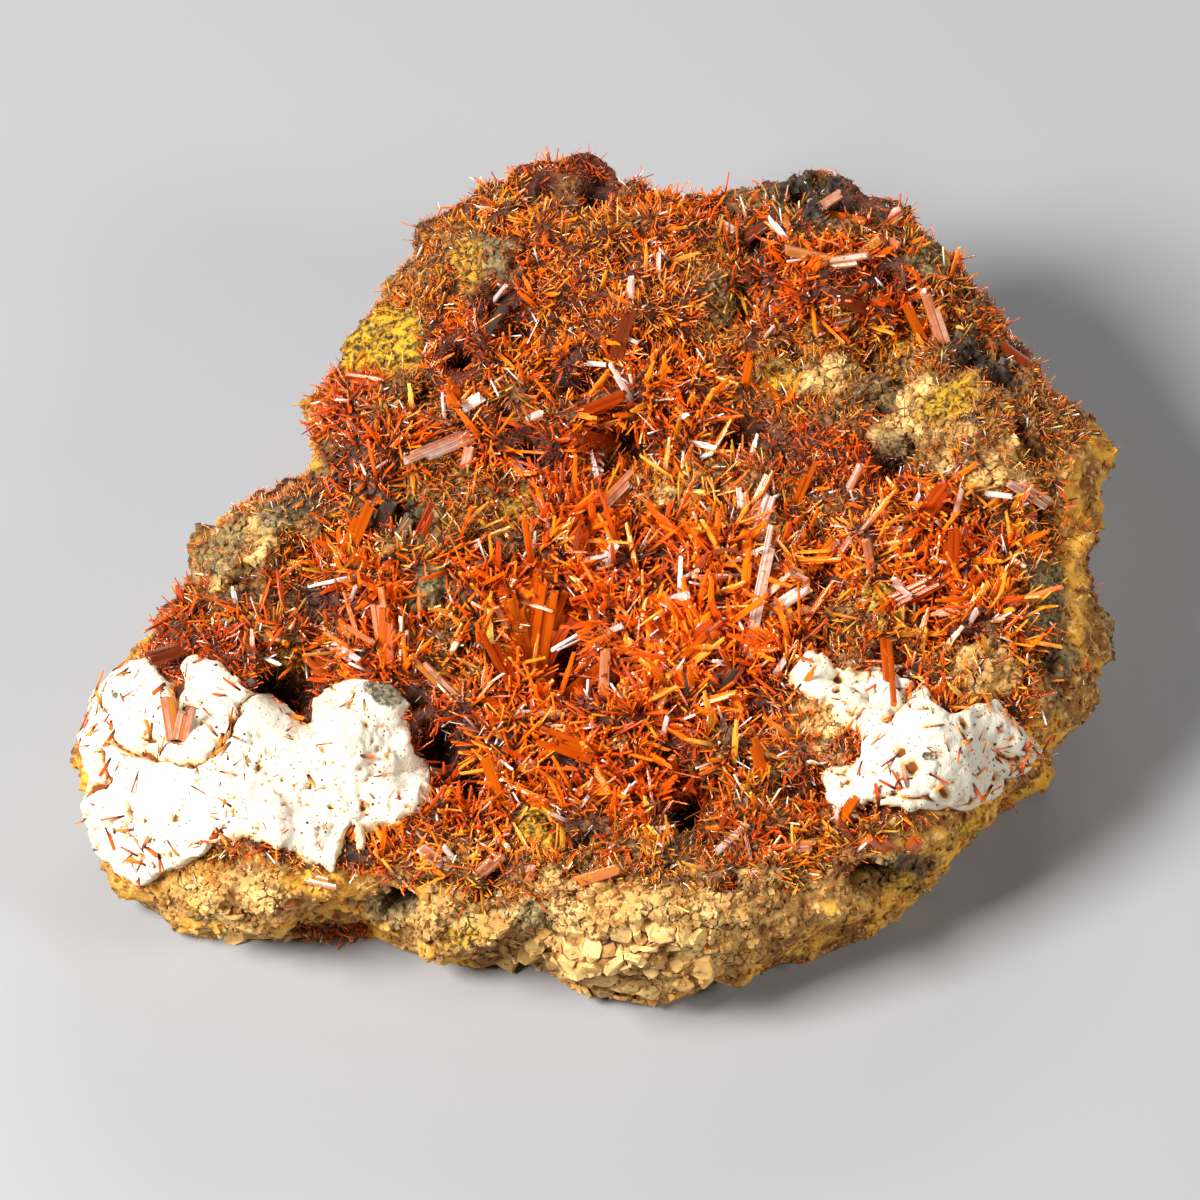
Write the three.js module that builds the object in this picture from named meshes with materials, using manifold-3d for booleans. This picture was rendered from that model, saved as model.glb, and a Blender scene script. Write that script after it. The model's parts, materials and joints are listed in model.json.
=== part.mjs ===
// A hand specimen of crocoite: a slab of ironstone matrix whose upper side is covered with crystal
// groups, each a mat of small red prisms grown together with larger ones, and two white crusts.
// Millimetres, +Z up. The specimen lies on its flat broken back, so z = 0 is what it rests on.
//
// Everything on the crystallised side is laid out on a drawing plane: u runs to the right and v runs
// up. The plane leans back, square to the line from which that side shows best.
import * as THREE from "three";
import { mergeVertices } from "three/addons/utils/BufferGeometryUtils.js";
import Module from "manifold-3d";

const wasm = await Module();
wasm.setup();

// ---- Driving dimensions -------------------------------------------------------------------------

const VIEW_RISE = THREE.MathUtils.degToRad(50); // height of the viewing line above the horizon
const FOOTPRINT_CENTRE = new THREE.Vector2(-0.3, -17.6); // middle of the footprint before it is centred
const DRAWING_CENTRE = new THREE.Vector2(0, 3); // the outline's polar coordinates start here

const TOP_HEIGHT = 33; // height of the slab's upper side at v = 0
const TOP_RISE = 0.17; // how much it rises for each millimetre of v
const SHOULDER_START = 0.74; // share of the outline's radius where the upper side starts to round off
const LUMP_HEIGHT = 2.2; // lumps all over the matrix
const LUMP_SIZE = 8;
const LEDGE_DEPTH = 0.09; // ledges of the side walls, as a share of the reach from the middle
const LEDGE_UNDERCUT = 0.6; // and how much more they cut in than they stand out
const BASE_INSET = 0.08; // the resting face is this much smaller than the outline
const CUT_DEPTH = 4; // the walls are drawn this far below z = 0, where the resting face cuts them

const JOINT_GAP = 0.35; // clearance between a piece and what it sits on
const ROOT_DEPTH = 3; // how far a mat or crust is drawn down before the matrix is taken from it
const CRYSTAL_ROOT = 1.5; // how far below the matrix surface a larger crystal starts
const MAT_THICKNESS = 1.8;
const CRUST_THICKNESS = 2.2;

// Where the ball that the matrix is shaped from turns from upper side to wall, and from wall to base.
const RIM_POLAR = THREE.MathUtils.degToRad(102);
const BASE_POLAR = THREE.MathUtils.degToRad(146);
const MATRIX_DETAIL = 9; // subdivisions of that ball
const MAT_DETAIL = 2; // and of the balls that the mats and crusts are shaped from
const CRUST_DETAIL = 3;

// The outline of the specimen on the drawing plane, anticlockwise from the right: [u, v, rim height].
const OUTLINE = [
  [73, 1.5, 24], [70, 7.5, 27], [74.5, 19.5, 28], [73, 26, 30], [69.5, 31, 32], [64.5, 35.5, 34],
  [62.5, 40, 35], [57.5, 45.5, 36], [53, 49, 37], [47, 57, 38], [42, 60.5, 39], [35, 64, 40],
  [27, 64, 40], [20, 59.5, 38], [8.5, 61, 40], [1.5, 65, 42], [-8, 65.5, 42], [-13, 63.5, 42],
  [-19, 59.5, 40], [-24.5, 57, 39], [-30.5, 49.5, 36], [-31.5, 45, 34], [-36.5, 40.5, 33],
  [-37.5, 36, 31], [-42.5, 31.5, 30], [-43, 25.5, 28], [-42.5, 17.5, 24], [-48.5, 16, 26],
  [-54.5, 14, 26], [-60.5, 5, 24], [-62, -0.5, 22], [-69, -8.5, 20], [-73.5, -14, 18],
  [-75.5, -21, 15], [-73.5, -33.5, 11], [-71.5, -39, 9], [-64.5, -44, 6], [-57.5, -48.5, 5],
  [-46.5, -47.5, 5], [-40, -45, 6], [-35, -46, 6], [-27.5, -49.5, 5], [-18, -52, 4],
  [-11, -50.5, 5], [-5.5, -54, 4], [0.5, -56.5, 4], [13, -56.5, 4], [18.5, -53.5, 5],
  [24.5, -52, 6], [30.5, -49, 8], [36.5, -47.5, 9], [47.5, -39.5, 12], [57, -30, 15],
  [60, -24, 17], [67, -18.5, 19], [72, -12.5, 21], [74, -4.5, 23],
];

// Mounds (rise above 0) and vugs (below 0) of the upper side: [u, v, half width, half height, turn, rise].
const RELIEF = [
  [-8, 48, 30, 20, 15, 6], // upper left mound
  [35, 52, 20, 14, -20, 5], // upper right mound
  [56, 25, 20, 16, 0, 5], // right shoulder
  [-33, 26, 14, 15, 30, 4], // left shoulder
  [-53, 8, 14, 9, 30, 3], // left lobe
  [-52, -24, 26, 17, 0, 4], // under the left crust
  [46, -22, 20, 13, -20, 4], // under the right crust
  [8, -43, 28, 13, 0, 4], // front lobe
  [-24, 9, 10, 8, 0, 3],
  [60, -2, 12, 14, 0, 3],
  [20, 57, 9, 12, 0, -4], // saddle between the upper mounds
  [22, 38, 12, 10, 0, -2],
  [3, 20, 9, 8, 10, -9], // upper vug
  [-12, 37, 7, 6, 0, -5],
  [-8, -7, 11, 10, 0, -9], // middle vug, where the blade fan stands
  [-43, -13, 8, 6, 0, -9], // vug behind the left crust
  [-21, -25, 8, 7, -20, -9], // vug beside the left crust
  [14, -29, 7, 6, 0, -8],
  [39, -13, 6, 5, 0, -5],
  [30, -30, 5, 5, 0, -5],
  [-2, 61, 7, 4, 0, -4],
  [27, 15, 8, 6, 0, -4],
  [-29, -45, 4, 4, 0, -4],
  [42, 37, 8, 5, -30, -4],
  [-43, 6, 8, 6, 0, -5],
];

// Outlines of the white crusts, anticlockwise from the right: [u, v].
const LEFT_CRUST = [
  [-25.5, -24.5], [-27.5, -22], [-28, -18], [-28.5, -14.5], [-32.5, -11.5], [-38, -11.5], [-41, -15],
  [-44, -18.5], [-47, -15.5], [-50.5, -13.5], [-53, -11], [-55.5, -9.5], [-59.5, -9], [-61.5, -12],
  [-64.5, -9.5], [-68, -9.5], [-72, -13.5], [-74.5, -20.5], [-74, -27], [-73, -32.5], [-70, -38],
  [-65, -41], [-59.5, -38.5], [-54, -35.5], [-49.5, -35], [-45.5, -36.5], [-41.5, -38], [-38.5, -38],
  [-35, -35.5], [-30.5, -33.5], [-25.5, -31.5], [-24.5, -27.5],
];
const RIGHT_CRUST = [
  [64, -20.5], [61, -18], [57.5, -14.5], [53.5, -15.5], [49.5, -16.5], [46.5, -13.5], [43, -11],
  [37.5, -10.5], [32, -9], [29.5, -8.5], [27.5, -11], [29.5, -14.5], [33, -17.5], [36.5, -20.5],
  [38, -22.5], [35, -24], [32, -25.5], [33.5, -28], [34, -30.5], [39, -29.5], [44, -30.5],
  [51.5, -30], [56.5, -27.5], [58.5, -24], [62, -22.5],
];

// Crystal groups. The mat is an ellipse, [u, v, half width, half height, turn], that carries the given
// number of small crystals. Each larger crystal grown together with it is
// [root u, root v, tip u, tip v, width, height of the tip above the matrix].
const CRYSTAL_GROUPS = {
  crystals_upper_left: {
    mat: [-6.5, 46.5, 22.5, 17, 8], small: 12,
    large: [[0.8, 31.5, 4.5, 42.5, 1.9, 3.5]],
  },
  crystals_upper_right: {
    mat: [36, 47, 17, 10.5, -25], small: 9,
    large: [
      [26.5, 49, 39.5, 50, 2, 3], [34.5, 50.3, 27, 50.9, 1.4, 3], [37.5, 50.5, 41.5, 53, 1.4, 3.5],
      [42.5, 43.5, 54, 48.5, 2.2, 4], [47, 36.5, 46, 42, 1.5, 3], [49, 43.5, 52.5, 36, 1.7, 3],
    ],
  },
  crystals_upper_middle: {
    mat: [28, 31.5, 13, 6.5, -10], small: 5,
    large: [[20.5, 33, 26, 37, 1.5, 3]],
  },
  crystals_left_shoulder: {
    mat: [-29.5, 19, 10.5, 12.5, 0], small: 7,
    large: [
      [-28.5, 20, -18.5, 24.5, 2.2, 4], [-30.5, 29.5, -21.5, 27, 1.4, 3], [-31, 30.5, -37, 33, 1.8, 3],
    ],
  },
  crystals_centre: {
    mat: [6.5, 18, 22, 11.5, 0], small: 9,
    large: [[-1, 12.5, 5, 18.5, 1.8, 7], [2.5, 22.5, -2.5, 24.5, 2, 6]],
  },
  crystals_right: {
    mat: [49, 7.5, 16.5, 17, 0], small: 10,
    large: [
      [45, 10, 50.5, 17, 2.4, 4], [50.5, 2, 51, 9.5, 2.2, 4], [40, -2, 48.5, 2, 2.2, 3.5],
      [50, -4, 57.5, 3.5, 3, 4], [41.5, -5, 42, -15, 1.8, 6], [39, 3.5, 38, 9, 1.4, 3],
      [35, 13, 38, 20, 1.3, 3], [59.5, 17, 66, 13.5, 2, 4],
    ],
  },
  crystals_left_lobe: {
    mat: [-50, -2.5, 11, 6.5, 0], small: 6,
    large: [[-57, -6.5, -65, -7.5, 2, 5]],
  },
  crystals_left_middle: {
    mat: [-33, -1.5, 9.5, 10, 0], small: 6,
    large: [
      [-30.5, -10.5, -31, -1, 2, 4], [-28.7, -10.5, -28.5, -2, 1.8, 3.5], [-30, -10, -32.5, 2, 2.3, 4],
      [-39, 4.5, -37, 18.5, 2.1, 3.5], [-38.8, 4.2, -33.5, 14.5, 2.2, 3.5], [-38, 3.8, -34.5, 8, 1.5, 4],
      [-41, -2, -34, -6, 1.7, 3], [-40.5, -6, -35, -9, 1.6, 3], [-38.5, -9.5, -43, -7, 1.9, 3],
    ],
  },
  crystals_middle_left: {
    mat: [-13, -6, 17, 13, 0], small: 7,
    large: [
      // the fan of blades
      [-10.5, -11, -14.5, 3.5, 3.5, 5], [-10.5, -11.5, -10.5, 4.5, 4.1, 5],
      [-10, -11.5, -6.5, 3.5, 3.5, 5.5], [-9, -11, -4.5, -2, 2.2, 5], [-10.5, -13, -16, -3, 2, 4],
      // and the prisms round it
      [-4.5, -16.5, -14.5, -17, 2, 2.5], [-5, -14, 1.5, -9, 2.2, 4], [2, -13, 1.5, -7, 1.5, 4],
      [0.5, -14, 0.5, -7, 1.2, 5], [-2.5, -5.5, 3, -3.5, 1.2, 4], [-1.5, 3, -3.5, 12, 1.8, 3],
      [-21, -14.5, -26.8, -8, 1.7, 3],
    ],
  },
  crystals_middle_right: {
    mat: [19.5, -6, 14, 12, 0], small: 7,
    large: [
      [20.5, -11.5, 25, 11, 1.9, 5], [25, -1, 30.5, 2.3, 1.7, 4], [25, -4, 29.8, -2, 1.2, 3],
      [9.5, -8, 17.5, -2.5, 2, 3.5], [10, -9.5, 17.5, -4.2, 2, 3],
      [14.5, -16, 19, -9.5, 2.2, 4], [14.5, -16, 13.5, -10, 2.2, 3.5], [14.8, -16.5, 18, -16, 2, 3],
    ],
  },
  crystals_lower_middle: {
    mat: [6, -26.5, 25, 8, 0], small: 8,
    large: [[5, -24, -9, -19.5, 2.8, 3], [-14, -30, -16.5, -22.5, 2, 6]],
  },
  crystals_lower_left: {
    mat: [-22, -38.5, 12.5, 5, 0], small: 6,
    large: [[-18.5, -41, -14, -36.5, 2, 3]],
  },
  crystals_lower_right: {
    mat: [31, -37, 15, 4.5, 5], small: 6,
    large: [
      [18, -36, 22, -32, 1.2, 3], [25, -36, 31, -35.3, 1.7, 3],
      [43, -37.5, 39, -34, 1.9, 3], [43, -37.5, 45.5, -34, 1.9, 3],
    ],
  },
  crystals_front_left: {
    mat: [-40, -42, 7, 3, 0], small: 3,
    large: [[-44, -41.5, -37.5, -41.5, 2, 2.5], [-40, -43.5, -46, -44.5, 2.3, 2]],
  },
};
// Two blades that stand in a notch of the left crust.
const CRUST_TWIN = [[-60.8, -21, -62.5, -14.5, 1.7, 4.5], [-60, -21, -59.5, -15.5, 2.1, 4.5]];

// The section of every prism, drawn for a width of 2.
const PRISM_SECTION = [[1, 0], [0, 0.8], [-1, 0], [0, -0.8]];
const SMALL_CRYSTAL = { length: [3.5, 6.5], width: [1.1, 1.7], lean: [0.15, 1.05] };

const FINISHES = {
  matrix: { color: 0x8a6a3a, roughness: 0.9 },
  crust: { color: 0xf4efe4, roughness: 0.85 },
  crystal: { color: 0xd9551e, roughness: 0.3 },
};

// ---- Drawing plane and surface ------------------------------------------------------------------

/** Repeatable pseudo-random number from 0 to 1 for a lattice point. */
function hash(i, j, k) {
  const s = Math.sin(i * 127.1 + j * 311.7 + k * 74.7) * 43758.5453;
  return s - Math.floor(s);
}

/** Smooth noise from -1 to 1 with features about one unit across. */
function noise(x, y, z) {
  const cell = [Math.floor(x), Math.floor(y), Math.floor(z)];
  const [fx, fy, fz] = [x - cell[0], y - cell[1], z - cell[2]].map((t) => t * t * (3 - 2 * t));
  let sum = 0;
  for (const dx of [0, 1]) {
    for (const dy of [0, 1]) {
      for (const dz of [0, 1]) {
        const share = (dx ? fx : 1 - fx) * (dy ? fy : 1 - fy) * (dz ? fz : 1 - fz);
        sum += share * hash(cell[0] + dx, cell[1] + dy, cell[2] + dz);
      }
    }
  }
  return 2 * sum - 1;
}

/** The point of the part's frame that shows at (u, v) and lies at the given height. */
function place(u, v, height) {
  const back = (v - height * Math.cos(VIEW_RISE)) / Math.sin(VIEW_RISE);
  return new THREE.Vector3(u - FOOTPRINT_CENTRE.x, back - FOOTPRINT_CENTRE.y, height);
}

/** How far an outline reaches from its centre in any direction, with the third value of its points. */
function polarOutline(points, centre) {
  const curve = new THREE.CatmullRomCurve3(
    points.map(([u, v, height = 0]) => new THREE.Vector3(u - centre.x, v - centre.y, height)),
    true,
    "centripetal",
  );
  const samples = curve
    .getSpacedPoints(16 * points.length)
    .map((p) => ({ angle: Math.atan2(p.y, p.x), radius: Math.hypot(p.x, p.y), height: p.z }))
    .sort((a, b) => a.angle - b.angle);
  return (angle) => {
    const turned = Math.atan2(Math.sin(angle), Math.cos(angle));
    return samples.find((s) => s.angle >= turned) ?? samples[0];
  };
}

const rimAt = polarOutline(OUTLINE, DRAWING_CENTRE);

/** Height of the upper side at a point of the drawing plane. */
function topHeight(u, v) {
  const [du, dv] = [u - DRAWING_CENTRE.x, v - DRAWING_CENTRE.y];
  const rim = rimAt(Math.atan2(dv, du));
  const [lumpU, lumpV] = [u / LUMP_SIZE, v / LUMP_SIZE];
  const lumps = noise(lumpU, lumpV, 3) + 0.4 * noise(2 * lumpU, 2 * lumpV, 7);
  let height = TOP_HEIGHT + TOP_RISE * v + LUMP_HEIGHT * lumps;
  for (const [bu, bv, halfWidth, halfHeight, turn, rise] of RELIEF) {
    const a = THREE.MathUtils.degToRad(turn);
    const along = ((u - bu) * Math.cos(a) + (v - bv) * Math.sin(a)) / halfWidth;
    const across = ((v - bv) * Math.cos(a) - (u - bu) * Math.sin(a)) / halfHeight;
    height += rise * Math.max(0, 1 - along * along - across * across) ** 1.5;
  }
  const share = Math.min(1, Math.hypot(du, dv) / rim.radius);
  const round = Math.max(0, (share - SHOULDER_START) / (1 - SHOULDER_START));
  return THREE.MathUtils.lerp(height, rim.height, 1 - Math.sqrt(1 - round * round));
}

/** The outward normal of the upper side. */
function topNormal(u, v) {
  const step = 1.5;
  const at = place(u, v, topHeight(u, v));
  const right = place(u + step, v, topHeight(u + step, v)).sub(at);
  const up = place(u, v + step, topHeight(u, v + step)).sub(at);
  return right.cross(up).normalize();
}

/** A point of the upper side, raised off it along its normal. */
function onTop(u, v, raised = 0) {
  return place(u, v, topHeight(u, v)).addScaledVector(topNormal(u, v), raised);
}

// ---- Solids -------------------------------------------------------------------------------------

/** A closed geometry with its shared vertices merged and nothing but positions. */
function welded(geometry) {
  const bare = new THREE.BufferGeometry();
  bare.setAttribute("position", geometry.getAttribute("position").clone());
  if (geometry.index) bare.setIndex(geometry.index);
  return mergeVertices(bare, 1e-4);
}

function solidFrom(geometry) {
  const merged = welded(geometry);
  const vertProperties = merged.getAttribute("position").array;
  const triVerts = new Uint32Array(merged.index.array);
  return new wasm.Manifold(new wasm.Mesh({ numProp: 3, vertProperties, triVerts }));
}

/** A named mesh from the largest body of a solid. */
function meshFrom(name, solid, finish) {
  const largest = solid.decompose().sort((a, b) => b.volume() - a.volume())[0];
  const { numProp, vertProperties, triVerts } = largest.getMesh();
  const points = new Float32Array((vertProperties.length / numProp) * 3);
  for (let i = 0; i < points.length / 3; i += 1) {
    points.set(vertProperties.subarray(i * numProp, i * numProp + 3), i * 3);
  }
  const geometry = new THREE.BufferGeometry()
    .setAttribute("position", new THREE.BufferAttribute(points, 3))
    .setIndex(new THREE.BufferAttribute(triVerts, 1));
  const mesh = new THREE.Mesh(geometry, new THREE.MeshStandardMaterial(FINISHES[finish]));
  mesh.name = name;
  return mesh;
}

/** A ball whose points are moved to where move(angle, polar angle) says. */
function shapedBall(detail, move) {
  const ball = welded(new THREE.IcosahedronGeometry(1, detail));
  const position = ball.getAttribute("position");
  for (let i = 0; i < position.count; i += 1) {
    const [x, y, z] = [position.getX(i), position.getY(i), position.getZ(i)];
    const moved = move(Math.atan2(y, x), Math.acos(THREE.MathUtils.clamp(z, -1, 1)));
    position.setXYZ(i, moved.x, moved.y, moved.z);
  }
  return ball;
}

/** Where a point of the ball goes on the matrix slab. */
function onMatrix(angle, polar) {
  const rim = rimAt(angle);
  const spread = (p, limit) => Math.sqrt((1 - Math.cos(p)) / (1 - Math.cos(limit)));
  const reach = rim.radius * (polar < RIM_POLAR ? spread(polar, RIM_POLAR) : 1);
  const u = DRAWING_CENTRE.x + reach * Math.cos(angle);
  const v = DRAWING_CENTRE.y + reach * Math.sin(angle);
  if (polar < RIM_POLAR) return place(u, v, topHeight(u, v));
  const edge = place(u, v, rim.height);
  const stage = Math.min(1, (polar - RIM_POLAR) / (BASE_POLAR - RIM_POLAR));
  const under = polar > BASE_POLAR ? spread(Math.PI - polar, Math.PI - BASE_POLAR) : 1;
  const bulge = Math.sin(stage * Math.PI) * Math.min(1, rim.height / 25);
  const step = noise(Math.cos(angle) * 6, Math.sin(angle) * 6, stage * 4) - LEDGE_UNDERCUT;
  const ledge = LEDGE_DEPTH * bulge * step;
  const scale = (1 - BASE_INSET * stage * stage + ledge) * under;
  const height = edge.z * (1 - stage) - CUT_DEPTH * stage;
  return new THREE.Vector3(edge.x * scale, edge.y * scale, height);
}

/** The matrix before its resting face is cut, with every point moved outwards by a distance. */
function matrixSlab(grow = 0) {
  const slab = shapedBall(MATRIX_DETAIL, onMatrix);
  if (grow === 0) return solidFrom(slab);
  slab.computeVertexNormals();
  const [position, normal] = [slab.getAttribute("position"), slab.getAttribute("normal")];
  for (let i = 0; i < position.count; i += 1) {
    position.setXYZ(
      i,
      position.getX(i) + grow * normal.getX(i),
      position.getY(i) + grow * normal.getY(i),
      position.getZ(i) + grow * normal.getZ(i),
    );
  }
  return solidFrom(slab);
}

/**
 * A layer that lies on the upper side inside the outline reach(angle) round its centre: raised off the
 * surface in the middle, thinning to nothing at the edge, and drawn down into the matrix below.
 */
function layer(centre, reach, thickness, detail) {
  const half = Math.PI / 2;
  return solidFrom(
    shapedBall(detail, (angle, polar) => {
      const above = polar <= half;
      const share = Math.sqrt(1 - Math.cos(above ? polar : Math.PI - polar));
      const u = centre.x + reach(angle) * share * Math.cos(angle);
      const v = centre.y + reach(angle) * share * Math.sin(angle);
      if (!above) return onTop(u, v, -ROOT_DEPTH);
      const bumps = 0.35 * thickness * noise(u / 3, v / 3, 9) * (1 - share ** 4);
      return onTop(u, v, thickness * (1 - share ** 6) + bumps - 0.4 * share ** 6);
    }),
  );
}

/** A prism between two points, with a slanting end. */
function prism(root, tip, width, turn, grow) {
  const axis = tip.clone().sub(root);
  const length = axis.length() + grow;
  const half = width / 2 + grow;
  const section = new THREE.Shape(PRISM_SECTION.map(([x, y]) => new THREE.Vector2(half * x, half * y)));
  const body = new THREE.ExtrudeGeometry(section, { depth: length, bevelEnabled: false });
  const position = body.getAttribute("position");
  for (let i = 0; i < position.count; i += 1) {
    if (position.getZ(i) > length / 2) {
      const slant = (half + position.getX(i)) * 0.55 + Math.abs(position.getY(i)) * 0.3;
      position.setZ(i, length - slant);
    }
  }
  const stand = new THREE.Quaternion().setFromUnitVectors(new THREE.Vector3(0, 0, 1), axis.normalize());
  stand.multiply(new THREE.Quaternion().setFromAxisAngle(new THREE.Vector3(0, 0, 1), turn));
  body.applyQuaternion(stand).translate(root.x, root.y, root.z);
  return solidFrom(body);
}

/** Larger crystals, joined where they grow into each other. */
function largeCrystals(rows, grow) {
  const prisms = rows.map(([u, v, tipU, tipV, width, tipHeight], i) => {
    const root = onTop(u, v, -CRYSTAL_ROOT);
    const tip = place(tipU, tipV, topHeight(tipU, tipV) + tipHeight);
    return prism(root, tip, width, 0.4 + i, grow);
  });
  return prisms.reduce((a, b) => a.add(b));
}

/** The small crystals of a mat, spread over it and leaning every way. */
function smallCrystals(seed, centre, reach, count, grow) {
  const between = ([low, high], n) => low + (high - low) * hash(seed, n, 5);
  const golden = Math.PI * (3 - Math.sqrt(5));
  const prisms = Array.from({ length: count }, (_, i) => {
    const angle = i * golden + seed;
    const share = 0.92 * Math.sqrt((i + 0.5) / count);
    const u = centre.x + reach(angle) * share * Math.cos(angle);
    const v = centre.y + reach(angle) * share * Math.sin(angle);
    const normal = topNormal(u, v);
    const lean = between(SMALL_CRYSTAL.lean, 3 * i);
    const away = new THREE.Vector3(Math.cos(i * 2.4 + seed), Math.sin(i * 2.4 + seed), 0);
    const sideways = away.projectOnPlane(normal).normalize();
    const direction = normal.multiplyScalar(Math.cos(lean)).addScaledVector(sideways, Math.sin(lean));
    const root = onTop(u, v, -0.5);
    const tip = root.clone().addScaledVector(direction, between(SMALL_CRYSTAL.length, 3 * i + 1));
    return prism(root, tip, between(SMALL_CRYSTAL.width, 3 * i + 2), i, grow);
  });
  return prisms.reduce((a, b) => a.add(b));
}

// ---- The specimen -------------------------------------------------------------------------------

const specimen = new THREE.Group();
const ground = solidFrom(new THREE.BoxGeometry(400, 400, 40).translate(0, 0, -20));
specimen.add(meshFrom("matrix_rock", matrixSlab().subtract(ground), "matrix"));

// Each piece leaves a small clearance to the matrix and to the pieces before it.
let taken = matrixSlab(JOINT_GAP);

/** Adds the piece that make(0) gives, less what is taken, and takes the room of make(JOINT_GAP). */
function addPiece(name, finish, make) {
  specimen.add(meshFrom(name, make(0).subtract(taken), finish));
  taken = taken.add(make(JOINT_GAP));
}

Object.entries(CRYSTAL_GROUPS).forEach(([name, { mat, small, large }], i) => {
  const [u, v, halfWidth, halfHeight, turn] = mat;
  const centre = new THREE.Vector2(u, v);
  const a = THREE.MathUtils.degToRad(turn);
  const reach = (angle) => {
    const ragged = 1 + 0.06 * noise(3 * Math.cos(angle), 3 * Math.sin(angle), i);
    return ragged / Math.hypot(Math.cos(angle - a) / halfWidth, Math.sin(angle - a) / halfHeight);
  };
  addPiece(name, "crystal", (grow) =>
    layer(centre, (angle) => reach(angle) + grow, MAT_THICKNESS + grow, MAT_DETAIL)
      .add(smallCrystals(i + 1, centre, reach, small, grow))
      .add(largeCrystals(large, grow)),
  );
});
addPiece("crust_twin_crystals", "crystal", (grow) => largeCrystals(CRUST_TWIN, grow));

for (const [name, points] of [["white_crust_left", LEFT_CRUST], ["white_crust_right", RIGHT_CRUST]]) {
  const centre = new THREE.Vector2();
  for (const [u, v] of points) centre.add(new THREE.Vector2(u, v).divideScalar(points.length));
  const outline = polarOutline(points, centre);
  addPiece(name, "crust", (grow) =>
    layer(centre, (angle) => outline(angle).radius + grow, CRUST_THICKNESS + grow, CRUST_DETAIL),
  );
}

export default specimen;
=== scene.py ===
"""Dresses a crocoite specimen: ironstone matrix, its druse of crystals and two white crusts.

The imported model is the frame. Everything on the crystallised side is placed on the drawing plane
that the specimen was laid out on: u runs to the right and v runs up, in millimetres, and the plane
leans back square to the viewing line.
"""

import itertools
import json
import math

import bpy
import numpy as np
from bpy.props import FloatProperty, FloatVectorProperty, IntProperty, PointerProperty
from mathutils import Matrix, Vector
from mathutils.bvhtree import BVHTree

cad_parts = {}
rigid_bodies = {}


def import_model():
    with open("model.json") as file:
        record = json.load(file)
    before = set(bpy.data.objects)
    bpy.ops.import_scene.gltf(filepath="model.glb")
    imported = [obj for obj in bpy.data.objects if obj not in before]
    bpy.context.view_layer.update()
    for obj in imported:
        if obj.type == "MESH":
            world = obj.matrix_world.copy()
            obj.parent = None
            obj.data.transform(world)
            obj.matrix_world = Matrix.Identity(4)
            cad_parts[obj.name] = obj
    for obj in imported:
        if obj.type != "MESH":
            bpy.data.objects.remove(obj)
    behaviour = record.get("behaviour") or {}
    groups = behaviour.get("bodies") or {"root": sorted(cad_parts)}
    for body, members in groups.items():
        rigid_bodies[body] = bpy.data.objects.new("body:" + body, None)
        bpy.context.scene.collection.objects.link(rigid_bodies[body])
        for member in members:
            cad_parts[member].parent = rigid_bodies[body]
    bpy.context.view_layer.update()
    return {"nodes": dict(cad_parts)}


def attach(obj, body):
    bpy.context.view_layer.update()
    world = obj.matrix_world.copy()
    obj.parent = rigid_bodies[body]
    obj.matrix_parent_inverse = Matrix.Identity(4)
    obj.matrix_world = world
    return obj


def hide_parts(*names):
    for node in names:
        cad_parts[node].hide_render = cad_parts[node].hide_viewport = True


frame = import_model()

bl_info = {
    "name": "Crocoite Specimen",
    "version": (1, 0, 0),
    "blender": (4, 5, 0),
    "location": "View3D > Sidebar > Crocoite",
    "description": "Builds the finished surfaces of a crocoite specimen on its solid model",
    "category": "Object",
}

MM = 0.001

# ---- The drawing plane ----------------------------------------------------------------------------

VIEW_RISE = math.radians(50)  # height of the viewing line above the horizon
UPWARD = math.sin(VIEW_RISE)
ACROSS = math.cos(VIEW_RISE)
PLANE_ORIGIN = (0.3, 17.6)  # x and y, in millimetres, of u = 0, v = 0 at z = 0
TO_VIEWER = Vector((0, -ACROSS, UPWARD))
KEY_PLACE = (-0.66, -0.36, 0.76)  # of the main light, in metres from the specimen's middle
GLINT = (TO_VIEWER + Vector(KEY_PLACE).normalized()).normalized()  # a facet facing this way mirrors it

# ---- The crystal groups and the larger crystals ---------------------------------------------------

# Each group's mat on the drawing plane: u, v, half width, half height.
CRYSTAL_GROUPS = {
    "crystals_upper_left": (-6.5, 46.5, 22.5, 17),
    "crystals_upper_right": (36, 47, 17, 10.5),
    "crystals_upper_middle": (28, 31.5, 13, 6.5),
    "crystals_left_shoulder": (-29.5, 19, 10.5, 12.5),
    "crystals_centre": (6.5, 18, 22, 11.5),
    "crystals_right": (49, 7.5, 16.5, 17),
    "crystals_left_lobe": (-50, -2.5, 11, 6.5),
    "crystals_left_middle": (-33, -1.5, 9.5, 10),
    "crystals_middle_left": (-13, -6, 17, 13),
    "crystals_middle_right": (19.5, -6, 14, 12),
    "crystals_lower_middle": (6, -26.5, 25, 8),
    "crystals_lower_left": (-22, -38.5, 12.5, 5),
    "crystals_lower_right": (31, -37, 15, 4.5),
    "crystals_front_left": (-40, -42, 7, 3),
}

# Where a crystal's colour lies on the finish's scale. Pink is red under a painted sheen; pale and white are
# painted glints.
TONES = {
    "grey": 0.02, "brown": 0.2, "red": 0.42, "orange": 0.6, "pink_sheen": 0.87, "pale_glint": 0.94, "white": 1.0,
}
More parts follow.
